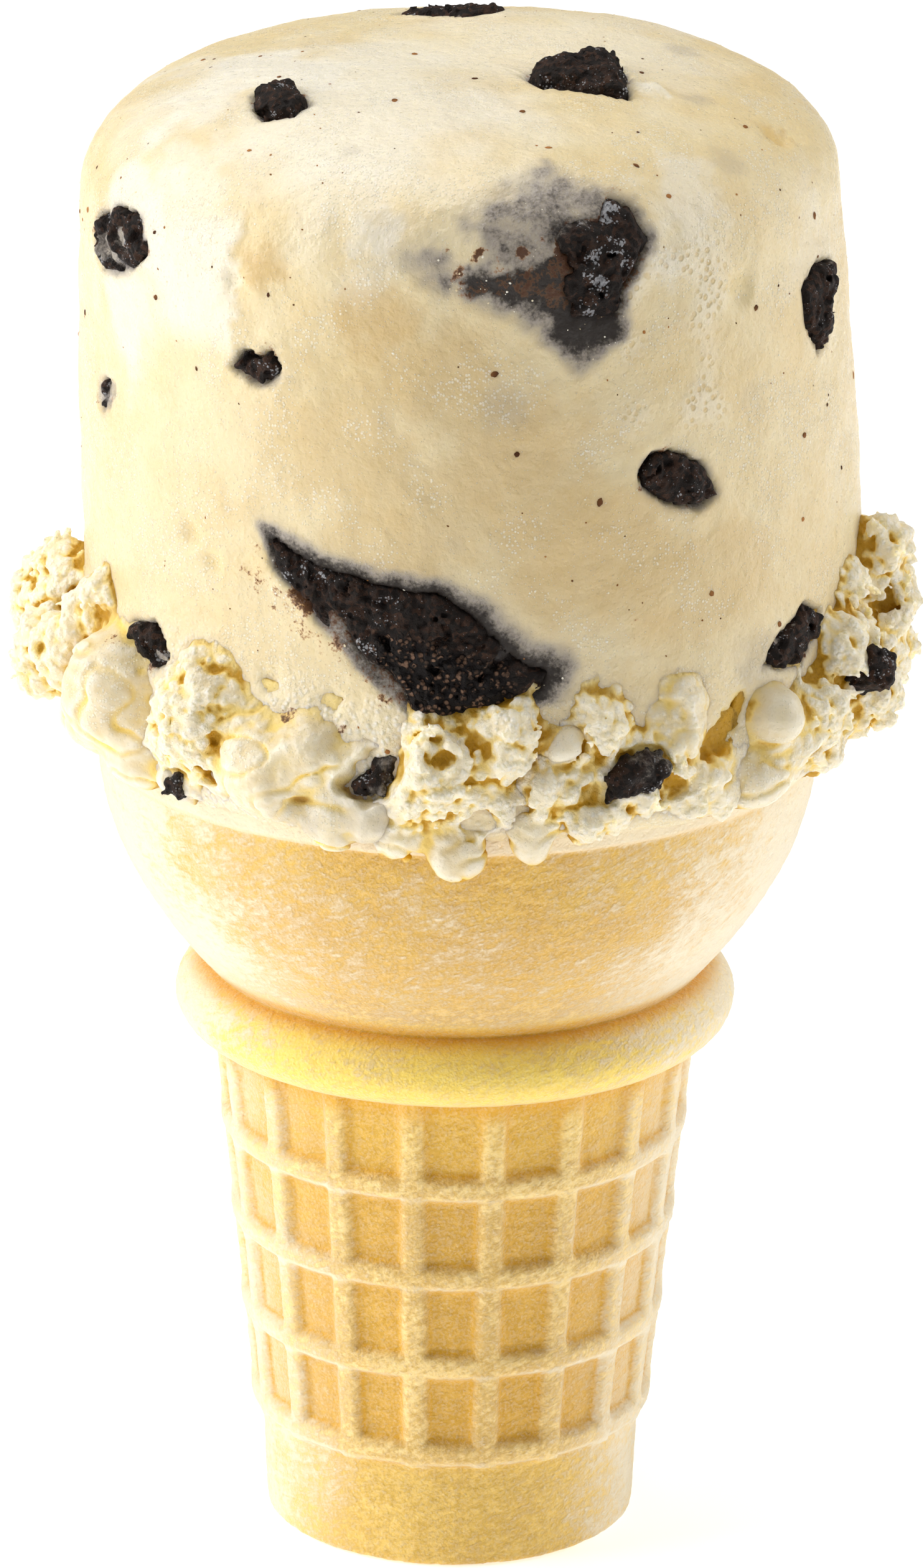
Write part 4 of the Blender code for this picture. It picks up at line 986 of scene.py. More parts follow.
def drum_rings():
    """The kinds of the drum's rings, from the plug's bottom to the top, each with its value."""
    plug, foot, wall, dome = ((5, 50, 74, 84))
    for step in range(plug):
        yield "plug", BOWL_FLOOR + 0.5 + (LIP_TOP - BOWL_FLOOR - 0.6) * step / (plug - 1)
    for step in range(foot):
        yield "foot", LIP_TOP + 0.1 + (DRUM_FOOT - LIP_TOP - 0.1) * step / foot
    for step in range(wall):
        yield "wall", step / wall
    for step in range(dome):
        share = step / dome
        yield "dome", 0.5 * math.pi * (share ** 1.25 * 0.5 + 0.5 * share)


def drum_grid():
    """Plain points of the drum, ring by ring."""
    columns = 438
    even = np.arange(columns) / columns * math.tau - math.pi
    azimuth = even - 0.3 * np.sin(even)
    rings = []
    for kind, value in drum_rings():
        if kind == "plug":
            radius = bowl_radius(value) - WALL - 0.4
            rings.append(np.stack([radius * np.sin(azimuth), -radius * np.cos(azimuth),
                                   np.full(columns, value)], -1))
        elif kind == "foot":
            share = (value - LIP_TOP) / (DRUM_FOOT - LIP_TOP)
            tuck = 1.6 * max(0.0, 1 - share / 0.12) ** 2
            radius = np.full(columns, DRUM_FOOT_RADIUS + 0.6 * (1 - share) ** 2 - tuck)
            rings.append(drum_place(azimuth, radius, np.full(columns, value)))
        elif kind == "wall":
            height = DRUM_FOOT + (shoulder_height(azimuth) - DRUM_FOOT) * value
            rings.append(drum_place(azimuth, drum_wall_radius(azimuth, height), height))
        else:
            low = shoulder_height(azimuth)
            height = low + (DRUM_TOP - low) * math.sin(value) ** (2.0 / DOME_POWER)
            radius = DRUM_SHOULDER_RADIUS * max(math.cos(value), 1e-4) ** (2.0 / shoulder_power(azimuth))
            rings.append(drum_place(azimuth, radius, height))
    return np.array(rings)


def grid_normals(grid):
    """Ways out of a grid of rings."""
    along = np.roll(grid, -1, 1) - np.roll(grid, 1, 1)
    up = np.gradient(grid, axis=0)
    normal = np.cross(along, up)
    return normal / np.maximum(np.linalg.norm(normal, axis=-1, keepdims=True), 1e-9)


def film_step(points, azimuth, height, soft, start):
    """The milk film's ragged step down the drum, of a given height and softness."""
    edge = FILM_EDGE + 2.2 * soft_noise(points, 2.6, 311) + 1.0 * soft_noise(points, 0.9, 312)
    low, high = FILM_EDGE_HEIGHTS
    reach = ease(low - 2, low + 1, points[:, 2]) * (1 - ease(high - 1, high + 2, points[:, 2]))
    return height * (ease(-soft, soft, edge - azimuth) * ease(start, -44, azimuth)) * reach


def cream_layers(points, hollow, torn):
    """The values that the ice cream's finish reads, for points in mm."""
    azimuth = np.degrees(np.arctan2(points[:, 0] - 0.8, -(points[:, 1] - 0.3)))
    # Milk film, whose big marks on the top and the left also paint highlights there.
    film = np.maximum(marks(points, MILK_FILM_AND_HIGHLIGHTS, 300, 0.6), film_step(points, azimuth, 0.75, 0.6, -60))
    left, right = FOAM_AZIMUTHS
    low, high = FOAM_HEIGHTS
    foam = (ease(left, left + 6, azimuth) * (1 - ease(right - 8, right, azimuth))
            * ease(low, low + 3, points[:, 2]) * (1 - ease(high - 4, high, points[:, 2])))
    return {
        "hollow": hollow, "torn": torn, "film": film, "buried": np.zeros(len(points)),
        "foam": foam * ease(-0.35, 0.35, soft_noise(points, 4.0, 320)),
        # Tan patches, which on the drum's front also paint shade.
        "tan": np.minimum(1.4 * marks(points, TAN_PATCHES_AND_SHADE, 340, 0.5), 1) * (1 - 0.8 * film),
        "tone": 0.5 + 0.3 * soft_noise(points, 9.0, 330) + 0.22 * soft_noise(points, 2.6, 331),
        "strewn": ease(-0.2, 0.45, soft_noise(points, 5.0, 332)),
        "grey": marks(points, GREY_SMEARS, 360, 0.35) * 0.8, "brown": marks(points, BROWN_SMEARS, 380, 0.8)}


def outline_distance(u, v, outline):
    """Distance from points to a closed outline, below 0 inside."""
    best = np.full(np.shape(u), 1e9)
    crossings = np.zeros(np.shape(u), bool)
    for (x0, y0), (x1, y1) in zip(outline, outline[1:] + outline[:1]):
        ex, ey = x1 - x0, y1 - y0
        share = np.clip(((u - x0) * ex + (v - y0) * ey) / (ex * ex + ey * ey), 0, 1)
        best = np.minimum(best, (u - x0 - share * ex) ** 2 + (v - y0 - share * ey) ** 2)
        above = (y0 > v) != (y1 > v)
        slope = np.where(above, ex * (v - y0) / (ey if abs(ey) > 1e-9 else 1e-9) + x0, 0)
        crossings ^= above & (u < slope)
    return np.sqrt(best) * np.where(crossings, -1, 1)


def make_drum(sizes, material, plans):
    """The drum with its plug: dents, film edge, granular foot, and a low rim round each biscuit piece."""
    grid = drum_grid()
    rings, columns = grid.shape[:2]
    points = grid.reshape(-1, 3).astype(np.float32)
    normal = grid_normals(grid).reshape(-1, 3)
    shown = (np.arange(rings) > 5).repeat(columns).astype(np.float32)
    degrees = np.degrees(np.arctan2(points[:, 0] - DRUM_X, -(points[:, 1] - DRUM_Y)))
    height = points[:, 2]
    lift = drum_relief(points, sizes.softness) + 0.045 * soft_noise(points, 1.1, 4)
    lift += film_step(points, degrees, sizes.film_thickness / MM, 0.5, -62)
    lift -= marks(points, [(*dent[:4], 1.0) for dent in DENTS], 20, 0.35) * 0.45
    foot = 1 - ease(74.0, 83.0, height + 3.0 * soft_noise(points, 6.0, 30))
    left_foot = foot * ease(-62, -44, degrees) * (1 - ease(-14, -4, degrees))
    grainy = foot * 0.35 + left_foot * 0.75
    near, _ = cell_noise(points + 0.5 * soft_noise(points, 1.6, 31)[:, None], 1.5, 32)
    fine, _ = cell_noise(points, 0.8, 33)
    crags = 0.55 * (near - 0.5) + 0.25 * (fine - 0.45) + 0.3 * ease(0.25, 0.7, soft_noise(points, 1.9, 34))
    lift -= grainy * crags * 0.7
    lift += 0.8 * left_foot * ease(84, 74, height) * 0.5
    torn = np.clip(grainy, 0, 1)
    # Painted shade: the dents, the crags of the torn foot and the seams over the crown are marked as hollow
    # shade.
    dent_shade = marks(points, [(*place, radius * 0.8, 0.22) for *place, radius, _ in DENTS], 20, 0.35)
    hollow = np.maximum(torn * ease(0.18, 0.6, crags) * 0.8, dent_shade)
    shaded_seams = marks(points, SEAMS_WITH_SHADE, 21, 0.3)
    hollow = np.maximum(hollow, shaded_seams)
    lift -= 0.7 * shaded_seams
    buried, stain = np.zeros((2, len(points)), np.float32)
    for plan in plans:
        off = points - plan.point.astype(np.float32)
        near = (np.abs(off).max(1) < plan.reach + 4) & (shown > 0)
        if plan.crown or not near.any():
            continue
        u, v = off[near] @ plan.right, off[near] @ plan.up
        bare, dark, _, rust = biscuit_cover(plan, u, v, points[near])
        away = outline_distance(u, v, plan.outline)
        lift[near] -= 0.8 * bare
        lift[near] += 0.10 * np.exp(-((away - 0.7) / 0.6) ** 2)
        buried[near] = np.maximum(buried[near], dark)
        stain[near] = np.maximum(stain[near], rust)
    points = points + (normal * (lift * shown)[:, None]).astype(np.float32)
    layers = cream_layers(points, hollow, torn)
    layers["buried"] = buried
    layers["brown"] = np.maximum(layers["brown"], stain)
    number = np.arange(rings * columns).reshape(rings, columns)
    ahead = np.roll(number, -1, 1)
    quads = np.stack([number[:-1], ahead[:-1], ahead[1:], number[1:]], -1).reshape(-1, 4)
    top, bottom = len(points), len(points) + 1
    points = np.concatenate([points, [points[number[-1]].mean(0)], [grid[0].mean(0)]])
    for name in layers:
        layers[name] = np.concatenate([layers[name], [layers[name][number[-1]].mean(), 0.0]])
    caps = np.concatenate([
        np.stack([number[-1], ahead[-1], np.full(columns, top)], -1),
        np.stack([ahead[0], number[0], np.full(columns, bottom)], -1)])
    write_mesh("ice_cream_drum", points, [quads, caps], layers, material, "ice_cream")


# ---- ice cream: the crown of curds

def curd_groups():
    """All curds by group: the front ones from the table, the back half by a rule."""
    groups = {name: list(curds) for name, curds in CURDS.items()}
    for curds in groups.values():
        start, end = min(curd[0] for curd in curds), max(curd[0] for curd in curds)
        count = int((end - start) / 5.5)
        curds += [(start + (end - start) * (place + 0.5) / count, 71.0 + 0.5 * math.sin(3.1 * place),
                   *FILLER_CURD) for place in range(count)]
    for name, azimuth, height, distance, radius, tall in BEADS:
        groups[name].append((azimuth, height, distance, radius, tall, 0.0))
    draw = random.Random(CROWN_BACK_SEED)
    for index in range(CROWN_BACK_COUNT):
        azimuth = 96 + 168 * (index + 0.5) / CROWN_BACK_COUNT + draw.uniform(-3, 3)
        low, high = CROWN_BACK_HEIGHTS
        height = (low if index % 2 else high) + draw.uniform(-1.2, 1.2)
        distance = CROWN_BACK_DISTANCE + draw.uniform(-0.6, 0.9)
        radius = draw.uniform(*CROWN_BACK_RADII)
        tall = draw.uniform(0.9, 1.15)
        name = ("curds_back_right", "curds_back", "curds_back_left")[min(index * 3 // CROWN_BACK_COUNT, 2)]
        rough = (0.95, 0.15, 0.8, 1.0, 0.6)[index % 5]
        groups.setdefault(name, []).append((azimuth, height, distance, radius, tall, rough))
        groups[name].append((azimuth + 4.5, height + (2.6 if index % 2 else -3.0), distance - 0.9,
                             radius * 0.8, 1.0, 0.7))
    return groups


def curd_centre(azimuth, height, distance):
    turn = math.radians(azimuth)
    x, y = distance * math.sin(turn), distance * math.cos(turn)
    return np.array((0.5 * DRUM_X + x, 0.5 * DRUM_Y - y, height))


def make_curds(name, curds, step, seed, material, plans):
    """One stretch of the crown: curds run together, torn rough, and joined softly to the drum's foot."""
    centres = np.array([curd_centre(*curd[:3]) for curd in curds])
    reach = np.array([curd[3] * max(curd[4], 1.0) for curd in curds])[:, None]
    low = (centres - reach).min(0) - 2.2
    high = (centres + reach).max(0) + 2.2
    axes = [np.arange(low[axis], high[axis], step, dtype=np.float32) for axis in range(3)]
    shape = tuple(len(axis) for axis in axes)
    body = np.full(shape, 6.0, np.float32)
    rough = np.zeros(shape, np.float32)
    for centre, (_, _, _, radius, tall, roughness) in zip(centres, curds):
        span = np.array((radius, radius, radius * tall)) + 3.2
        window = tuple(slice(max(int((centre[a] - span[a] - low[a]) / step), 0),
                             int((centre[a] + span[a] - low[a]) / step) + 2) for a in range(3))
        x, y, z = ((axes[a][window[a]] - centre[a]) / (radius * (tall if a == 2 else 1.0)) for a in range(3))
        away = np.sqrt(x[:, None, None] ** 2 + y[None, :, None] ** 2 + z[None, None, :] ** 2)
        away = (away - 1.0) * radius * min(tall, 1.0)
        body[window], share = soft_min(body[window], away, CURD_JOIN)
        rough[window] += (roughness - rough[window]) * share
    places = np.stack(np.meshgrid(*axes, indexing="ij"), -1)
    wall = wall_distance(places).astype(np.float32)
    near = (body < 2.6) & (body > -2.2) & (wall > -1.5)
    points, strength = places[near], rough[near]
    warp = np.stack([soft_noise(points, 1.7, seed + shift) for shift in (1, 2, 3)], -1)
    big, tone = cell_noise(points + 0.55 * warp, 2.7, seed + 4)
    small = cell_noise(points + 0.25 * warp, 1.15, seed + 5)[0]
    tiny = cell_noise(points + 0.15 * warp, 0.62, seed + 6)[0]
    tears = ease(0.22, 0.75, soft_noise(points, 2.3, seed + 7))
    carve = strength * (1.2 * (big - 0.45) + 0.9 * (small - 0.48) + 0.42 * (tiny - 0.48)
                        + 0.8 * tears - 0.3 * tone)
    folds = soft_noise(points * (0.8, 0.8, 1.5) + 0.5 * warp, 4.2, seed + 11)
    carve += (ease(0.0, 0.06, strength) - strength) * (0.32 * np.exp(-(folds / 0.11) ** 2) + 0.3 * folds
                                                       + 0.04 * soft_noise(points, 1.0, seed + 9))
    carve += 0.03 * soft_noise(points, 0.45, seed + 10) + 0.16 * soft_noise(points, 2.1, seed + 15)
    carve += 1.3 * marks(points, SEAMS_WITH_SHADE, 21, 0.3)
    fade = 1 - ease(0.9, 2.3, body[near])
    plain = body.copy()
    body[near] += carve * fade
    for azimuth, height, radius in HOLES:
        line = np.array([curd_centre(azimuth, height, distance) for distance in np.arange(38.0, 30.0, -0.1)])
        if (line[40] < low).any() or (line[40] > high).any():
            continue
        found = np.flatnonzero(sample(body, line, low, step) < 0)
        if len(found) == 0:
            continue
        centre = line[min(found[0] + int(radius * 6), len(line) - 1)]
        x, y, z = (places[..., axis] - centre[axis] for axis in range(3))
        away = np.sqrt((x ** 2 + y ** 2) * 0.7 + z ** 2)
        close = away < radius * 2.5
        spots = places[close]
        away[close] += (0.5 * radius * soft_noise(spots, 1.3, seed + 12)
                        + 0.2 * soft_noise(spots, 0.5, seed + 13))
        body = np.maximum(body, (radius * 1.3 - away) * 0.9)
    for plan in plans:
        if not plan.crown:
            continue
        close = (np.abs(places - plan.point.astype(np.float32)) < 5).all(-1)
        spots = places[close]
        if len(spots) == 0:
            continue
        off = spots - plan.point.astype(np.float32)
        away = outline_distance(off @ plan.right, off @ plan.up, plan.outline)
        away += 0.3 * soft_noise(spots, 1.2, seed + 14)
        rise = off @ plan.normal
        pocket = np.minimum(0.35 + 0.4 * np.maximum(rise, 0) - away, rise + 0.3)
        body[close] = np.maximum(body[close], pocket)
    standing = np.maximum(wall, CROWN_FOOT - places[..., 2])
    field, _ = soft_min(body, standing + 0.12, FOOT_JOIN)
    field = np.maximum(field, np.maximum(plain - 2.0, -wall - 1.8))
    field = np.pad(field, 1, constant_values=3.0)
    low = low - step
    solid = np.minimum(field, np.pad(wall, 1, mode="edge")) < 0
    points, quads = keep_main(*surface_net(field, low, step))
    crowd, wide = (crowding(solid, reach, points, low, step) for reach in (0.6, 1.6))
    torn = sample(np.pad(rough, 1), points, low, step)
    # Painted shade: crowded, sunken points and the seams are marked as hollow shade.
    hollow = ease(0.41, 0.66, 0.5 * crowd + 0.5 * wide) * (0.6 + 0.4 * torn)
    hollow = np.maximum(hollow, ease(0.50, 0.76, wide))
    shaded_seams = [(*place, 1.6 * radius, strength) for *place, radius, strength in SEAMS_WITH_SHADE]
    hollow = np.maximum(hollow, marks(points.astype(np.float32), shaded_seams, 21, 0.3))
    layers = cream_layers(points.astype(np.float32), hollow, torn)
    # Painted highlight: exposed tips, with little crowded round them, take the milk film's pale colour as lit
    # tops.
    layers["film"] = np.maximum(layers["film"], 0.8 * (1 - ease(0.34, 0.54, crowd)))
    write_mesh(name, points, [quads], layers, material, "ice_cream")


# ---- biscuit pieces

def broken_outline(width, height, turn, seed):
    """The same uneven outline as the node's, in mm right and up from its middle."""
    draw = random.Random(seed)
    turn = math.radians(turn)
    points = []
    for index in range(BISCUIT_SIDES):
        angle = math.tau * (index + draw.uniform(-0.25, 0.25)) / BISCUIT_SIDES
        reach = draw.uniform(0.84, 1.08)
        x = 0.5 * width * reach * math.cos(angle)
        y = 0.5 * height * reach * math.sin(angle)
        points.append((x * math.cos(turn) - y * math.sin(turn), x * math.sin(turn) + y * math.cos(turn)))
    return points


def drum_hit(where):
    """The drum's point at a place, and the way out of it."""
    kind, first, second = where
    if kind == "top":
        start, ray = np.array((first, second, 2 * DRUM_TOP)), np.array((0.0, 0.0, -1.0))
        near, far = 100.0, 150.0
    else:
        turn = math.radians(first)
        ray = -np.array((math.sin(turn), -math.cos(turn), 0.0))
        start = np.array((DRUM_X, DRUM_Y, second)) - ray * 100.0
        near, far = 60.0, 80.0
    for _ in range(40):
        middle = 0.5 * (near + far)
        if drum_outside(start + ray * middle) > 0:
            near = middle
        else:
            far = middle
    point = start + ray * near
    slope = np.array([drum_outside(point + shift) - drum_outside(point - shift)
                      for shift in np.eye(3) * 0.02])
    return point, slope / np.linalg.norm(slope)


def biscuit_plan(name, where, depth, proud, seed, veil, outline):
    """Where a piece sits: its middle, its own right, up and way out, and its outline."""
    if where[0] == "crown":
        low, high = (np.array(corner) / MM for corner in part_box(name))
        turn = math.radians(where[1])
        normal = np.array((math.sin(turn), -math.cos(turn), CROWN_TILT))
        normal /= np.linalg.norm(normal)
        point = 0.5 * (low + high) + normal * 0.5 * (depth - proud)
    else:
        point, normal = drum_hit(where)
    right = np.cross((0.0, 0.0, 1.0), normal)
    if np.linalg.norm(right) < 0.35:
        right = np.array((1.0, 0.0, 0.0))
    right = right - normal * right.dot(normal)
    right /= np.linalg.norm(right)
    if isinstance(outline, tuple):
        outline = broken_outline(*outline, seed)
    return SimpleNamespace(
        name=name, crown=where[0] == "crown", point=point, normal=normal, right=right,
        up=np.cross(normal, right), outline=outline, depth=depth, proud=proud, seed=seed, veil=veil,
        reach=max(math.hypot(*corner) for corner in outline))


def biscuit_plans():
    """A plan for every piece."""
    return [biscuit_plan(name, *values) for name, values in BISCUITS.items()]


def biscuit_cover(plan, u, v, points):
    """For points over a piece: how bare it lies, how darkly it shows through, its frost and its rust."""
    away = outline_distance(u, v, plan.outline)
    seed = plan.seed
    rag = 0.8 * soft_noise(points, 2.4, seed + 60) + 0.5 * soft_noise(points, 1.0, seed + 61)
    fine = soft_noise(points, 0.7, seed + 62)
    mottle = soft_noise(points, 1.5, seed + 64) + 0.4 * fine
    halo = np.exp(-np.maximum(away, 0) / 0.7)
    if plan.name == "biscuit_upper_slab":
        inside = ease(1.3, -0.9, away + 0.6 * rag)
        band = ease(2.2, 0.8, v - 0.1 * u + 1.1 * rag + 0.5 * fine) * ease(-7.0, -4.6, u)
        band = band * ease(-2.1, -0.7, v + 0.2 * u + 0.9 * rag + 0.4 * fine)
        chunk = ease(-0.8, 0.8, u - 2.9 + 0.1 * v + rag + 0.6 * fine) * ease(-3.0, -1.6, v + 0.7 * rag)
        chunk = chunk * ease(0.5, -0.5, v - 4.3 - 1.9 * ease(5.2, 6.4, u) + 0.4 * rag)
        bare = chunk * ease(0.2, -0.4, away + 0.3 * rag)
        tip = ease(0.8, 2.4, u + rag) * ease(-0.6, -2.2, v)
        beak = ease(-5.6, -6.6, u) * ease(3.2, 2.2, v + 0.3 * rag)
        dark = 0.12 + 0.34 * ease(-6.2, -1.6, u + rag) + 0.2 * ease(-1.0, 2.5, u) * ease(5.5, 3.5, v)
        dark = dark + 0.66 * band + 0.34 * beak + tip * (0.12 + 0.36 * ease(-6.6, -2.0, v)) + 0.22 * mottle
        dark = inside * np.clip(dark - 0.3 * ease(-4.2, -6.2, v + 0.4 * rag), 0, 1)
        spots = ease(-0.05, 0.6, soft_noise(points, 1.5, seed + 67) + 0.3 * fine)
        rust = inside * spots * ease(-7.0, -5.5, u) * ease(4.6, 3.2, v) * ease(-1.8, -0.6, v + 0.3 * rag)
        ring = 4 * chunk * (1 - chunk) * ease(-2.0, -0.5, v)
        rust = np.maximum(rust, np.maximum(ring * ease(-0.6, 0.2, mottle), 0.5 * band) * inside)
        frost = ease(-0.35, 0.15, soft_noise(points, 2.2, 71)) * ease(8.5, 6.5, u + rag) * ease(2.4, 3.8, u)
        frost = np.maximum(frost, 0.15)
    elif plan.name == "biscuit_lower_slab":
        upper = ease(-1.5, 1.0, v + 0.55 * u)
        bare = ease(0.15, -0.35, away + 0.25 * rag + 0.3 * upper)
        patch = ease(1.0, 2.0, u - 3.6 + rag) * ease(-3.6, -1.8, v + rag) * ease(0.1, 0.5, mottle + 0.25)
        smear = (1 - upper) * ease(-1.9, -1.1, away + 0.5 * rag) * ease(1.4, -0.6, u) * ease(-7.6, -5.6, u)
        bare = bare * (1 - 0.8 * patch) * (1 - 0.9 * smear)
        spread = 0.3 + 1.5 * upper + 1.0 * upper * ease(2.0, 7.0, u)
        dark = np.maximum(ease(spread, -0.5, away + 0.35 * rag) * (0.9 - 0.25 * smear),
                          0.3 * upper * np.exp(-np.maximum(away, 0) / 1.3))
        rust = (1 - upper) * np.exp(-np.maximum(away, 0) / 0.9) * ease(-0.7, 0.1, rag) * (1 - 0.5 * smear)
        frost = 0.2 + 0.6 * ease(0.0, 0.5, soft_noise(points, 2.0, 72)) * ease(3.0, -3.0, u)
    else:
        inside = ease(0.8, -0.8, away + 0.5 * rag)
        cover = ease(-0.15, 0.3, soft_noise(points, 1.8, seed + 66) + 1.5 * (plan.veil - 0.55))
        bare = ease(0.2, -0.25, away + 0.3 * rag + 0.25 * fine) * (1 - 0.9 * cover)
        dark = np.maximum(inside * (0.78 - 0.3 * cover + 0.15 * rag), 0.22 * halo * ease(-0.4, 0.4, rag))
        rust = 0.55 * halo * ease(0.0, 0.5, mottle)
        frost = 0.25 + 0.45 * ease(-0.1, 0.6, soft_noise(points, 1.6, seed + 73)) + 0.35 * cover
    return bare, np.clip(dark, 0, 1), np.clip(frost, 0, 1), np.clip(rust, 0, 1)


def make_biscuit(plan, step, softness, material):
    """One broken piece, with a crumbly porous face."""
    outline = plan.outline
    us, vs = (np.arange(min(values) - 0.9, max(values) + 0.9, step) for values in zip(*outline))
    flat_u, flat_v = np.meshgrid(us, vs, indexing="ij")
    base = plan.point + flat_u[..., None] * plan.right + flat_v[..., None] * plan.up
    spread = base.reshape(-1, 3).astype(np.float32)
    rise = np.zeros_like(flat_u)
    bare = np.ones_like(flat_u)
    if not plan.crown:
        rise = drum_lift(base, plan.normal) + drum_relief(spread, softness).reshape(rise.shape)
        bare = biscuit_cover(plan, flat_u.ravel(), flat_v.ravel(), spread)[0].reshape(rise.shape)
    floor = -plan.depth + min(rise.min(), 0.0) * 0.5
    ws = np.arange(floor - 0.6, rise.max() + plan.proud + 1.6, step)
    grid_u, grid_v, grid_w = np.meshgrid(us, vs, ws, indexing="ij")
    places = (plan.point + grid_u[..., None] * plan.right + grid_v[..., None] * plan.up
              + grid_w[..., None] * plan.normal)
    flat = places.reshape(-1, 3).astype(np.float32)
    seed = plan.seed
    edge = outline_distance(flat_u, flat_v, outline)
    dome = 0.45 + 0.55 * ease(0.0, 1.9, -edge) + 0.25 * soft_noise(spread, 2.4, seed + 86).reshape(rise.shape)
    top = rise - 0.45 + (plan.proud * dome + 0.5) * bare
    sides = edge[..., None] + 0.1
    over = grid_w - top[..., None]
    corner = np.hypot(np.maximum(sides + BISCUIT_BEND, 0), np.maximum(over + BISCUIT_BEND, 0)) - BISCUIT_BEND
    field = np.where((sides > -BISCUIT_BEND) & (over > -BISCUIT_BEND), corner, np.maximum(sides, over))
    field = np.maximum(field, floor - grid_w)
    near = (np.abs(field) < 1.5).ravel()
    spots = flat[near]
    big = cell_noise(spots + 0.4 * soft_noise(spots, 1.3, seed + 80)[:, None], 1.7, seed + 81)[0]
    small = cell_noise(spots, 0.66, seed + 82)[0]
    crag = 0.95 * (big - 0.5) + 0.6 * (small - 0.5) + 0.25 * soft_noise(spots, 0.9, seed + 83)
    crag += 0.9 * ease(0.4, 0.8, soft_noise(spots, 1.2, seed + 84))
    crag *= 0.55 + 0.25 * min(1.0, plan.reach / 9.0)
    crag += 0.14 * soft_noise(spots, 0.4, seed + 87)
    open_part = np.broadcast_to(bare[..., None], field.shape).ravel()[near]
    field = field.ravel()
    field[near] += crag * (0.15 + 0.85 * open_part)
    field = np.pad(field.reshape(grid_u.shape), 1, constant_values=2.0).astype(np.float32)
    low = np.array((us[0], vs[0], ws[0])) - step
    local, quads = keep_main(*surface_net(field, low, step))
    points = plan.point + local @ np.array([plan.right, plan.up, plan.normal])
    # Painted shade: sunken pits of the crumb are marked to be painted darker, as the shade in them.
    pore = ease(0.60, 0.82, crowding(field < 0, 0.45, local, low, step))
    bare, dark, frost, _ = biscuit_cover(plan, local[:, 0], local[:, 1], points.astype(np.float32))
    frost = frost * (1 - pore)
    if plan.crown:
        veil = plan.veil * (0.5 + 0.9 * soft_noise(points, 1.6, seed + 85)
                            + 0.5 * ease(-0.6, 1.2, local[:, 0] + local[:, 1]))
    else:
        veil = (1 - bare) * (1.05 - 0.55 * dark) + 0.2 * plan.veil
    crumbly = np.zeros(len(local))
    if plan.name == "biscuit_lower_slab":
        u, v = local[:, 0], local[:, 1]
        crumbly = ease(-3.2, -1.4, u) * ease(9.5, 7.0, u) * ease(0.9, -0.7, v + 0.3 * u)
    write_mesh(plan.name + "_look", points, [quads], {
        "veil": np.clip(veil, 0, 1.3), "frost": frost * (1 - 0.8 * crumbly), "crumbly": crumbly,
        "pore": pore * (1 - np.clip(veil, 0, 1))}, material, plan.name)


# ---- specks and crumbs

def speck_tree(material, values):
    """Strews small flattened chips over a surface."""
    tree, term = start_tree("strewn_specks", values)
    surface = node_of(tree, "GeometryNodeObjectInfo", Object=term("Surface"))
    place = tree.nodes.new("GeometryNodeInputPosition").outputs[0]
    height = apart_of(tree, place)[2]
    patches = noise_term(tree, place, 9.0, 2.0).ease(0.42, 0.62, 0.15, 1.0)
    kept = height.ease(term("Lowest"), term("Lowest") + 0.0005)
    strewn = node_of(tree, "GeometryNodeDistributePointsOnFaces", {"distribute_method": "RANDOM"},
                     Mesh=surface.outputs["Geometry"], Seed=term("Seed"),
                     Density=term("Density") * patches * kept)
    chip = node_of(tree, "GeometryNodeMeshIcoSphere", Radius=1.0, Subdivisions=term("Detail"))
    jag = noise_term(tree, place, 600.0, 2.0) - 0.5
    push = node_of(tree, "ShaderNodeVectorMath", {"operation": "SCALE"}, Scale=jag * 1.2,
                   Vector=tree.nodes.new("GeometryNodeInputNormal").outputs[0])
    rough = node_of(tree, "GeometryNodeSetPosition", Geometry=chip.outputs[0], Offset=push.outputs[0])
    draws = [node_of(tree, "FunctionNodeRandomValue", {"data_type": "FLOAT"}, Seed=seed) for seed in (3, 4)]
    pick, turn = (Term(tree, draw.outputs[1]) for draw in draws)
    size = pick.power(2.5).ease(0.0, 1.0, term("Smallest"), term("Largest"))
    scale = point_of(tree, size * turn.ease(0.0, 1.0, 1.0, 1.7), size, size * term("Flatness"))
    roll = node_of(tree, "FunctionNodeAxisAngleToRotation", Angle=turn * 6.28)
    spin = node_of(tree, "FunctionNodeRotateRotation", {"rotation_space": "LOCAL"},
                   Rotation=strewn.outputs["Rotation"], Rotate_By=roll.outputs[0])
    copies = node_of(tree, "GeometryNodeInstanceOnPoints", Points=strewn.outputs["Points"],
                     Instance=rough.outputs[0], Rotation=spin.outputs[0], Scale=scale)
    return tree_end(tree, copies.outputs[0], material)


def make_specks(sizes, dark, pale):
    """Dark specks, and pale frozen granules, on the drum."""
    bpy.context.view_layer.update()
    for name, finish, density, smallest, largest, flatness, seed, detail in (
            ("vanilla_specks", dark, sizes.speck_density, 0.06, 0.23, 0.4, 11, 2),
            ("frozen_granules", pale, sizes.granule_density, 0.03, 0.09, 0.6, 5, 1)):
        piece = grow(name, speck_tree, finish, {
            "Surface": bpy.data.objects["ice_cream_drum"], "Density": density, "Smallest": smallest * MM,
            "Largest": largest * MM, "Flatness": flatness, "Lowest": 70 * MM, "Seed": seed, "Detail": detail})
        dress(piece)


# ---- stage

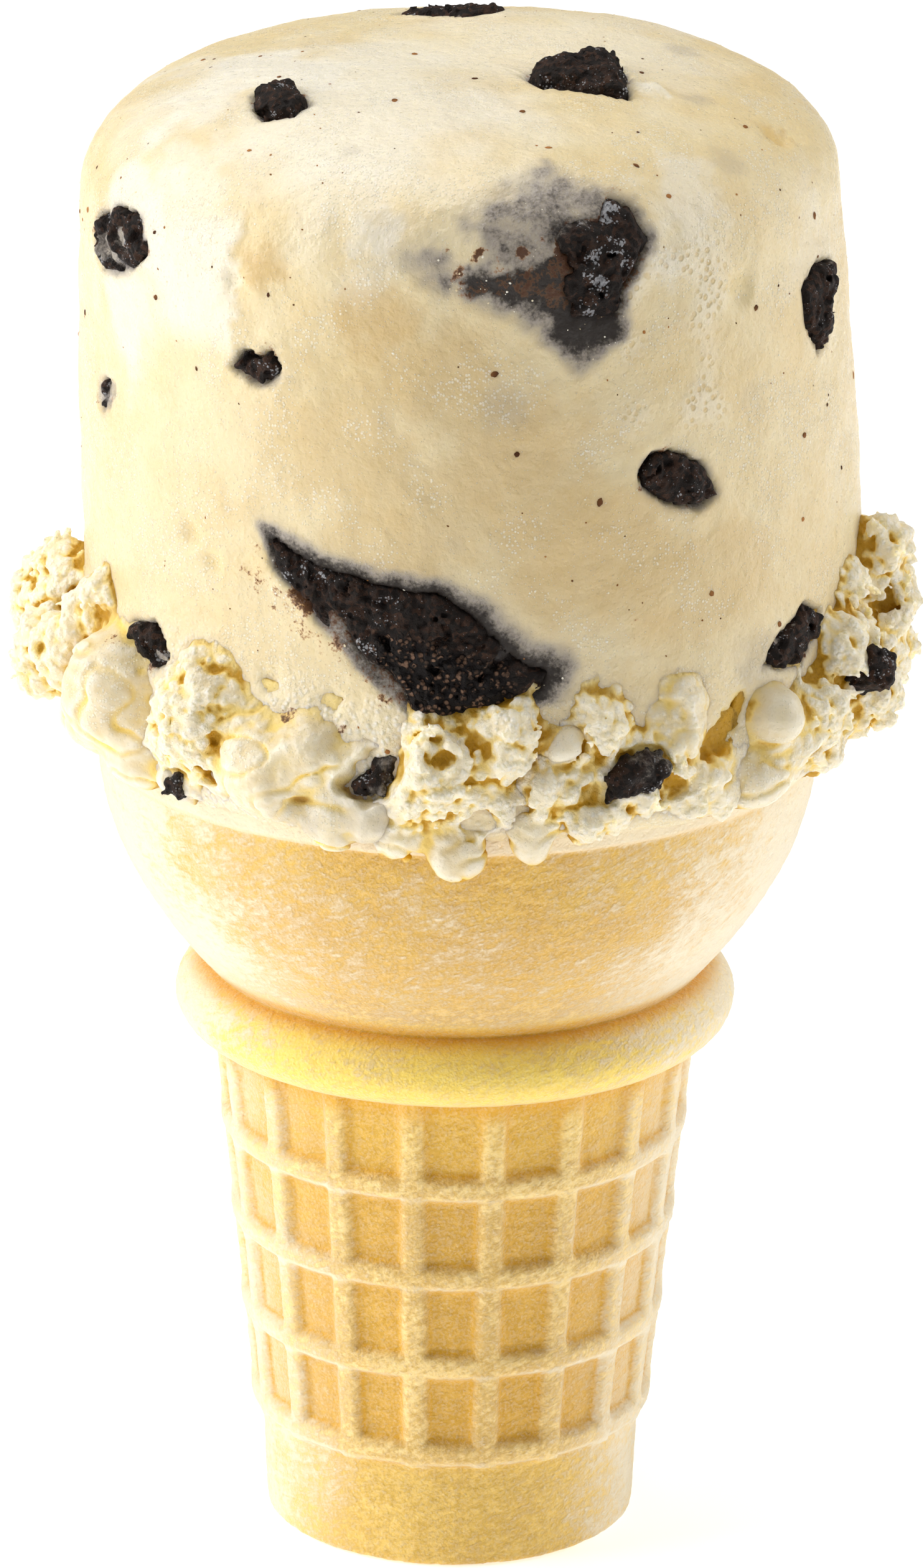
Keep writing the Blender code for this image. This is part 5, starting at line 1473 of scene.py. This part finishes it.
def add_light(name, place, width, height, power, colour):
    """A soft rectangular lamp that looks at the cone's middle, all in metres."""
    lamp = bpy.data.lights.new(name, "AREA")
    lamp.shape, lamp.size, lamp.size_y = "RECTANGLE", width, height
    lamp.energy, lamp.color = power, colour
    thing = add_object(name, lamp)
    thing.location = place
    thing.rotation_euler = (Vector(LAMP_AIM) - Vector(place)).to_track_quat("-Z", "Y").to_euler()


def make_stage(stage, colours):
    """Floor, lamps, world and the photograph's view."""
    shape = bmesh.new()
    bmesh.ops.create_grid(shape, x_segments=40, y_segments=40, size=3.0)
    mesh = bpy.data.meshes.new("floor")
    shape.to_mesh(mesh)
    shape.free()
    mesh.materials.append(floor_finish(colours))
    add_object("floor", mesh)
    add_light("lamp_left", (-0.62, -0.08, 0.30), 0.45, 0.8, stage.left_power, (1.0, 0.985, 0.96))
    add_light("lamp_right", (0.64, 0.14, 0.24), 0.45, 0.8, stage.right_power, (1.0, 0.975, 0.94))
    add_light("lamp_top", (-0.08, 0.06, 0.72), 0.6, 0.6, stage.top_power, (1.0, 0.99, 0.97))
    scene = bpy.context.scene
    scene.world = bpy.data.worlds.new("studio")
    scene.world.use_nodes = True
    sky = scene.world.node_tree.nodes["Background"]
    sky.inputs["Color"].default_value = (1.0, 0.99, 0.97, 1.0)
    sky.inputs["Strength"].default_value = stage.sky
    scene.view_settings.view_transform, scene.view_settings.look = "Standard", "None"
    data = bpy.data.cameras.new("view")
    data.sensor_fit, data.sensor_height, data.lens = "VERTICAL", 36.0, stage.lens
    data.clip_start, data.clip_end = 0.01, 20.0
    scene.camera = add_object("view", data)
    down = Matrix.Rotation(0.5 * math.pi - stage.tilt, 3, "X") @ Matrix.Rotation(stage.roll, 3, "Z")
    scene.camera.matrix_world = down.to_4x4()
    scene.camera.location = (stage.aim_x, -stage.distance * math.cos(stage.tilt),
                             stage.aim_z + stage.distance * math.sin(stage.tilt))


# ---- settings

def number(label, words, value, **more):
    return FloatProperty(name=label, description=words, default=value, **more)


def length(label, words, value):
    return number(label, words, value * MM, unit="LENGTH", precision=5)


def colour(label, words, value):
    return FloatVectorProperty(name=label, description=words, default=value, subtype="COLOR", size=3,
                               min=0.0, max=1.0)


class ConeWaferSizes(bpy.types.PropertyGroup):
    """Sizes of the wafer cup's waffle"""
    rib_count: IntProperty(name="Upright ribs", description="Upright ribs round the stem", default=18, min=3)
    rib_crest: length("Rib crest", "Width of an upright rib's crest", 1.05)
    rib_foot: length("Rib foot", "Width of an upright rib at the panels", 2.9)
    panel_depth: length("Panel depth", "How far the panels lie under the ribs", 0.75)
    hoop_count: IntProperty(name="Level ribs", description="Level ribs up the stem", default=4, min=1)
    hoop_first: length("First level rib", "Height of the lowest level rib", 10.0)
    hoop_pitch: length("Level rib pitch", "From one level rib to the next", 7.82)
    hoop_crest: length("Level rib crest", "Width of a level rib's crest", 1.15)
    hoop_foot: length("Level rib foot", "Width of a level rib at the panels", 2.9)
    hoop_proud: length("Level rib height", "How far a level rib stands over the upright ones", 0.2)
    unevenness: length("Unevenness", "Height of the wafer's skin grain", 0.17)


class ConeCreamSizes(bpy.types.PropertyGroup):
    """Sizes of the ice cream's surface"""
    softness: number("Softness", "Depth of the drum's soft hollows", 1.0, min=0.0)
    film_thickness: length("Milk film", "Thickness of the milk film's step", 0.24)
    curd_step: length("Curd fineness", "Spacing of the curds' finest points", 0.16)
    biscuit_step: length("Biscuit fineness", "Spacing of the biscuit's finest points", 0.13)
    speck_density: number("Speck density", "Brown specks on each square metre", 52000.0)
    granule_density: number("Granule density", "Frozen granules on each square metre", 420000.0)


class ConeColours(bpy.types.PropertyGroup):
    """Colours of the finishes"""
    panel: colour("Panel", "Wafer in the sunken panels", (0.79, 0.48, 0.095))
    rib: colour("Rib", "Wafer on the ribs", (0.95, 0.71, 0.31))
    toast: colour("Toast", "Darker baked mottling", (0.57, 0.31, 0.036))
    # Flour, which also paints light on the wafer's flanks.
    flour: colour("Flour", "Pale floury patches", (0.95, 0.86, 0.66))
    # Toasted edges, with painted shade in the creases, at the neck and under the collar.
    crease: colour("Crease", "Toasted edges and creases", (0.78, 0.42, 0.016))
    yolk: colour("Yolk", "Bright yellow wafer at the collar", (1.0, 0.74, 0.125))
    cream: colour("Cream", "Vanilla ice cream", (0.78, 0.66, 0.41))
    butter: colour("Butter", "Yellower vanilla ice cream", (0.74, 0.57, 0.29))
    # Tan, which also paints shade on the drum's front.
    tan: colour("Tan", "Thin, tan spots of the ice cream", (0.62, 0.43, 0.18))
    # Frost white, which also paints highlights on the tops of torn curds.
    white: colour("Frost white", "Granules, and the tips of the curds", (0.93, 0.89, 0.78))
    # Milk, which also paints highlights on the drum and on the curds' tips.
    milk: colour("Milk", "White milk film and granules", (0.87, 0.83, 0.72))
    # Honey and amber paint the shade in the ice cream's hollows.
    honey: colour("Honey", "Hollows of the ice cream", (0.90, 0.66, 0.15))
    amber: colour("Amber", "Deepest holes of the ice cream", (0.52, 0.27, 0.005))
    stain: colour("Stain", "Brown smears and freckles", (0.07, 0.024, 0.008))
    speck: colour("Speck", "Lighter vanilla specks", (0.40, 0.17, 0.05))
    veil: colour("Veil", "Milk over dark biscuit", (0.345, 0.305, 0.265))
    veil_dark: colour("Thin veil", "Thin milk over dark biscuit", (0.012, 0.007, 0.005))
    biscuit: colour("Biscuit", "Dark biscuit", (0.0070, 0.0038, 0.0025))
    crumb: colour("Crumb", "Lighter crumbs of the biscuit", (0.042, 0.018, 0.009))
    grit: colour("Grit", "Loose brown grit of the biscuit", (0.19, 0.11, 0.07))
    # Pore colour, the painted shade in the biscuit's pits.
    pore: colour("Pore", "Pores of the biscuit", (0.004, 0.002, 0.002))
    frost: colour("Frost", "Frost on the biscuit", (0.46, 0.47, 0.50))
    floor: colour("Floor", "The studio's floor", (0.97, 0.97, 0.97))


class ConeStage(bpy.types.PropertyGroup):
    """The studio and its view"""
    left_power: number("Left lamp", "Power of the left lamp", 4.4, unit="POWER")
    right_power: number("Right lamp", "Power of the right lamp", 2.7, unit="POWER")
    top_power: number("Top lamp", "Power of the top lamp", 3.4, unit="POWER")
    sky: number("Sky", "Strength of the studio's even light", 0.16)
    tilt: number("Tilt", "How far the view looks down", math.radians(19.17), subtype="ANGLE")
    roll: number("Roll", "How far the view is turned", math.radians(0.62), subtype="ANGLE")
    distance: length("Distance", "From the view to the cone", 750.0)
    aim_x: length("Aim across", "Where the view aims, across", 0.34)
    aim_z: length("Aim height", "Where the view aims, in height", 60.87)
    lens: number("Lens", "Focal length for a frame 36 mm high", 15265.0 / 2520.0 * 36.0)


class Step:
    """What the cone's steps share: each has a build method that raises if it can't finish."""

    def execute(self, context):
        self.build(context.scene)
        return {"FINISHED"}


class CONE_OT_wafer(Step, bpy.types.Operator):
    """Add the wafer cup's stem and bowl"""
    bl_idname = "cone.add_wafer"
    bl_label = "Wafer cup"

    def build(self, scene):
        make_wafer_cup(scene.cone_wafer, wafer_finish(scene.cone_colours))


class CONE_OT_drum(Step, bpy.types.Operator):
    """Add the drum of ice cream"""
    bl_idname = "cone.add_drum"
    bl_label = "Ice cream drum"

    def build(self, scene):
        make_drum(scene.cone_cream, cream_material(scene), biscuit_plans())


class CONE_OT_curds(Step, bpy.types.Operator):
    """Add the crown of curds round the drum's foot"""
    bl_idname = "cone.add_curds"
    bl_label = "Crown of curds"

    def build(self, scene):
        material, plans = cream_material(scene), biscuit_plans()
        for seed, (name, curds) in enumerate(curd_groups().items()):
            step = scene.cone_cream.curd_step / MM * (1.35 if "back" in name else 1.0)
            make_curds(name, curds, step, 100 * seed + 500, material, plans)


class CONE_OT_biscuits(Step, bpy.types.Operator):
    """Add the dark biscuit pieces"""
    bl_idname = "cone.add_biscuits"
    bl_label = "Biscuit pieces"

    def build(self, scene):
        material = biscuit_finish(scene.cone_colours)
        step = scene.cone_cream.biscuit_step / MM
        for plan in biscuit_plans():
            make_biscuit(plan, step, scene.cone_cream.softness, material)


class CONE_OT_specks(Step, bpy.types.Operator):
    """Strew specks and frozen granules over the ice cream"""
    bl_idname = "cone.add_specks"
    bl_label = "Specks"

    def build(self, scene):
        colours = scene.cone_colours
        make_specks(scene.cone_cream, grain_finish(colours, "vanilla_speck", "stain", "speck", 0.2),
                    grain_finish(colours, "frozen_granule", "milk", "cream", 0.6))


class CONE_OT_stage(Step, bpy.types.Operator):
    """Add the floor, the lamps and the view"""
    bl_idname = "cone.add_stage"
    bl_label = "Stage"

    def build(self, scene):
        make_stage(scene.cone_stage, scene.cone_colours)


class CONE_PT_panel(bpy.types.Panel):
    """The cone's steps and settings"""
    bl_idname = "CONE_PT_panel"
    bl_label = "Ice cream cone"
    bl_space_type = "VIEW_3D"
    bl_region_type = "UI"
    bl_category = "Cone"

    def draw(self, context):
        for step in STEPS:
            self.layout.operator(step.bl_idname)
        for name, group in SETTINGS.items():
            for label in group.__annotations__:
                self.layout.prop(getattr(context.scene, name), label)


STEPS = (CONE_OT_wafer, CONE_OT_drum, CONE_OT_curds, CONE_OT_biscuits, CONE_OT_specks, CONE_OT_stage)
SETTINGS = {"cone_wafer": ConeWaferSizes, "cone_cream": ConeCreamSizes, "cone_colours": ConeColours,
            "cone_stage": ConeStage}


def cream_material(scene):
    """The ice cream's finish, made once."""
    return bpy.data.materials.get("vanilla_ice_cream") or cream_finish(scene.cone_colours)


def register():
    for group in SETTINGS.values():
        bpy.utils.register_class(group)
    for name, group in SETTINGS.items():
        setattr(bpy.types.Scene, name, PointerProperty(type=group))
    for step in STEPS + (CONE_PT_panel,):
        bpy.utils.register_class(step)


def unregister():
    for step in (CONE_PT_panel,) + STEPS[::-1]:
        bpy.utils.unregister_class(step)
    for name, group in SETTINGS.items():
        delattr(bpy.types.Scene, name)
        bpy.utils.unregister_class(group)


def main():
    register()
    for step in STEPS:
        family, action = step.bl_idname.split(".")
        getattr(getattr(bpy.ops, family), action)()


if __name__ == "__main__":
    main()
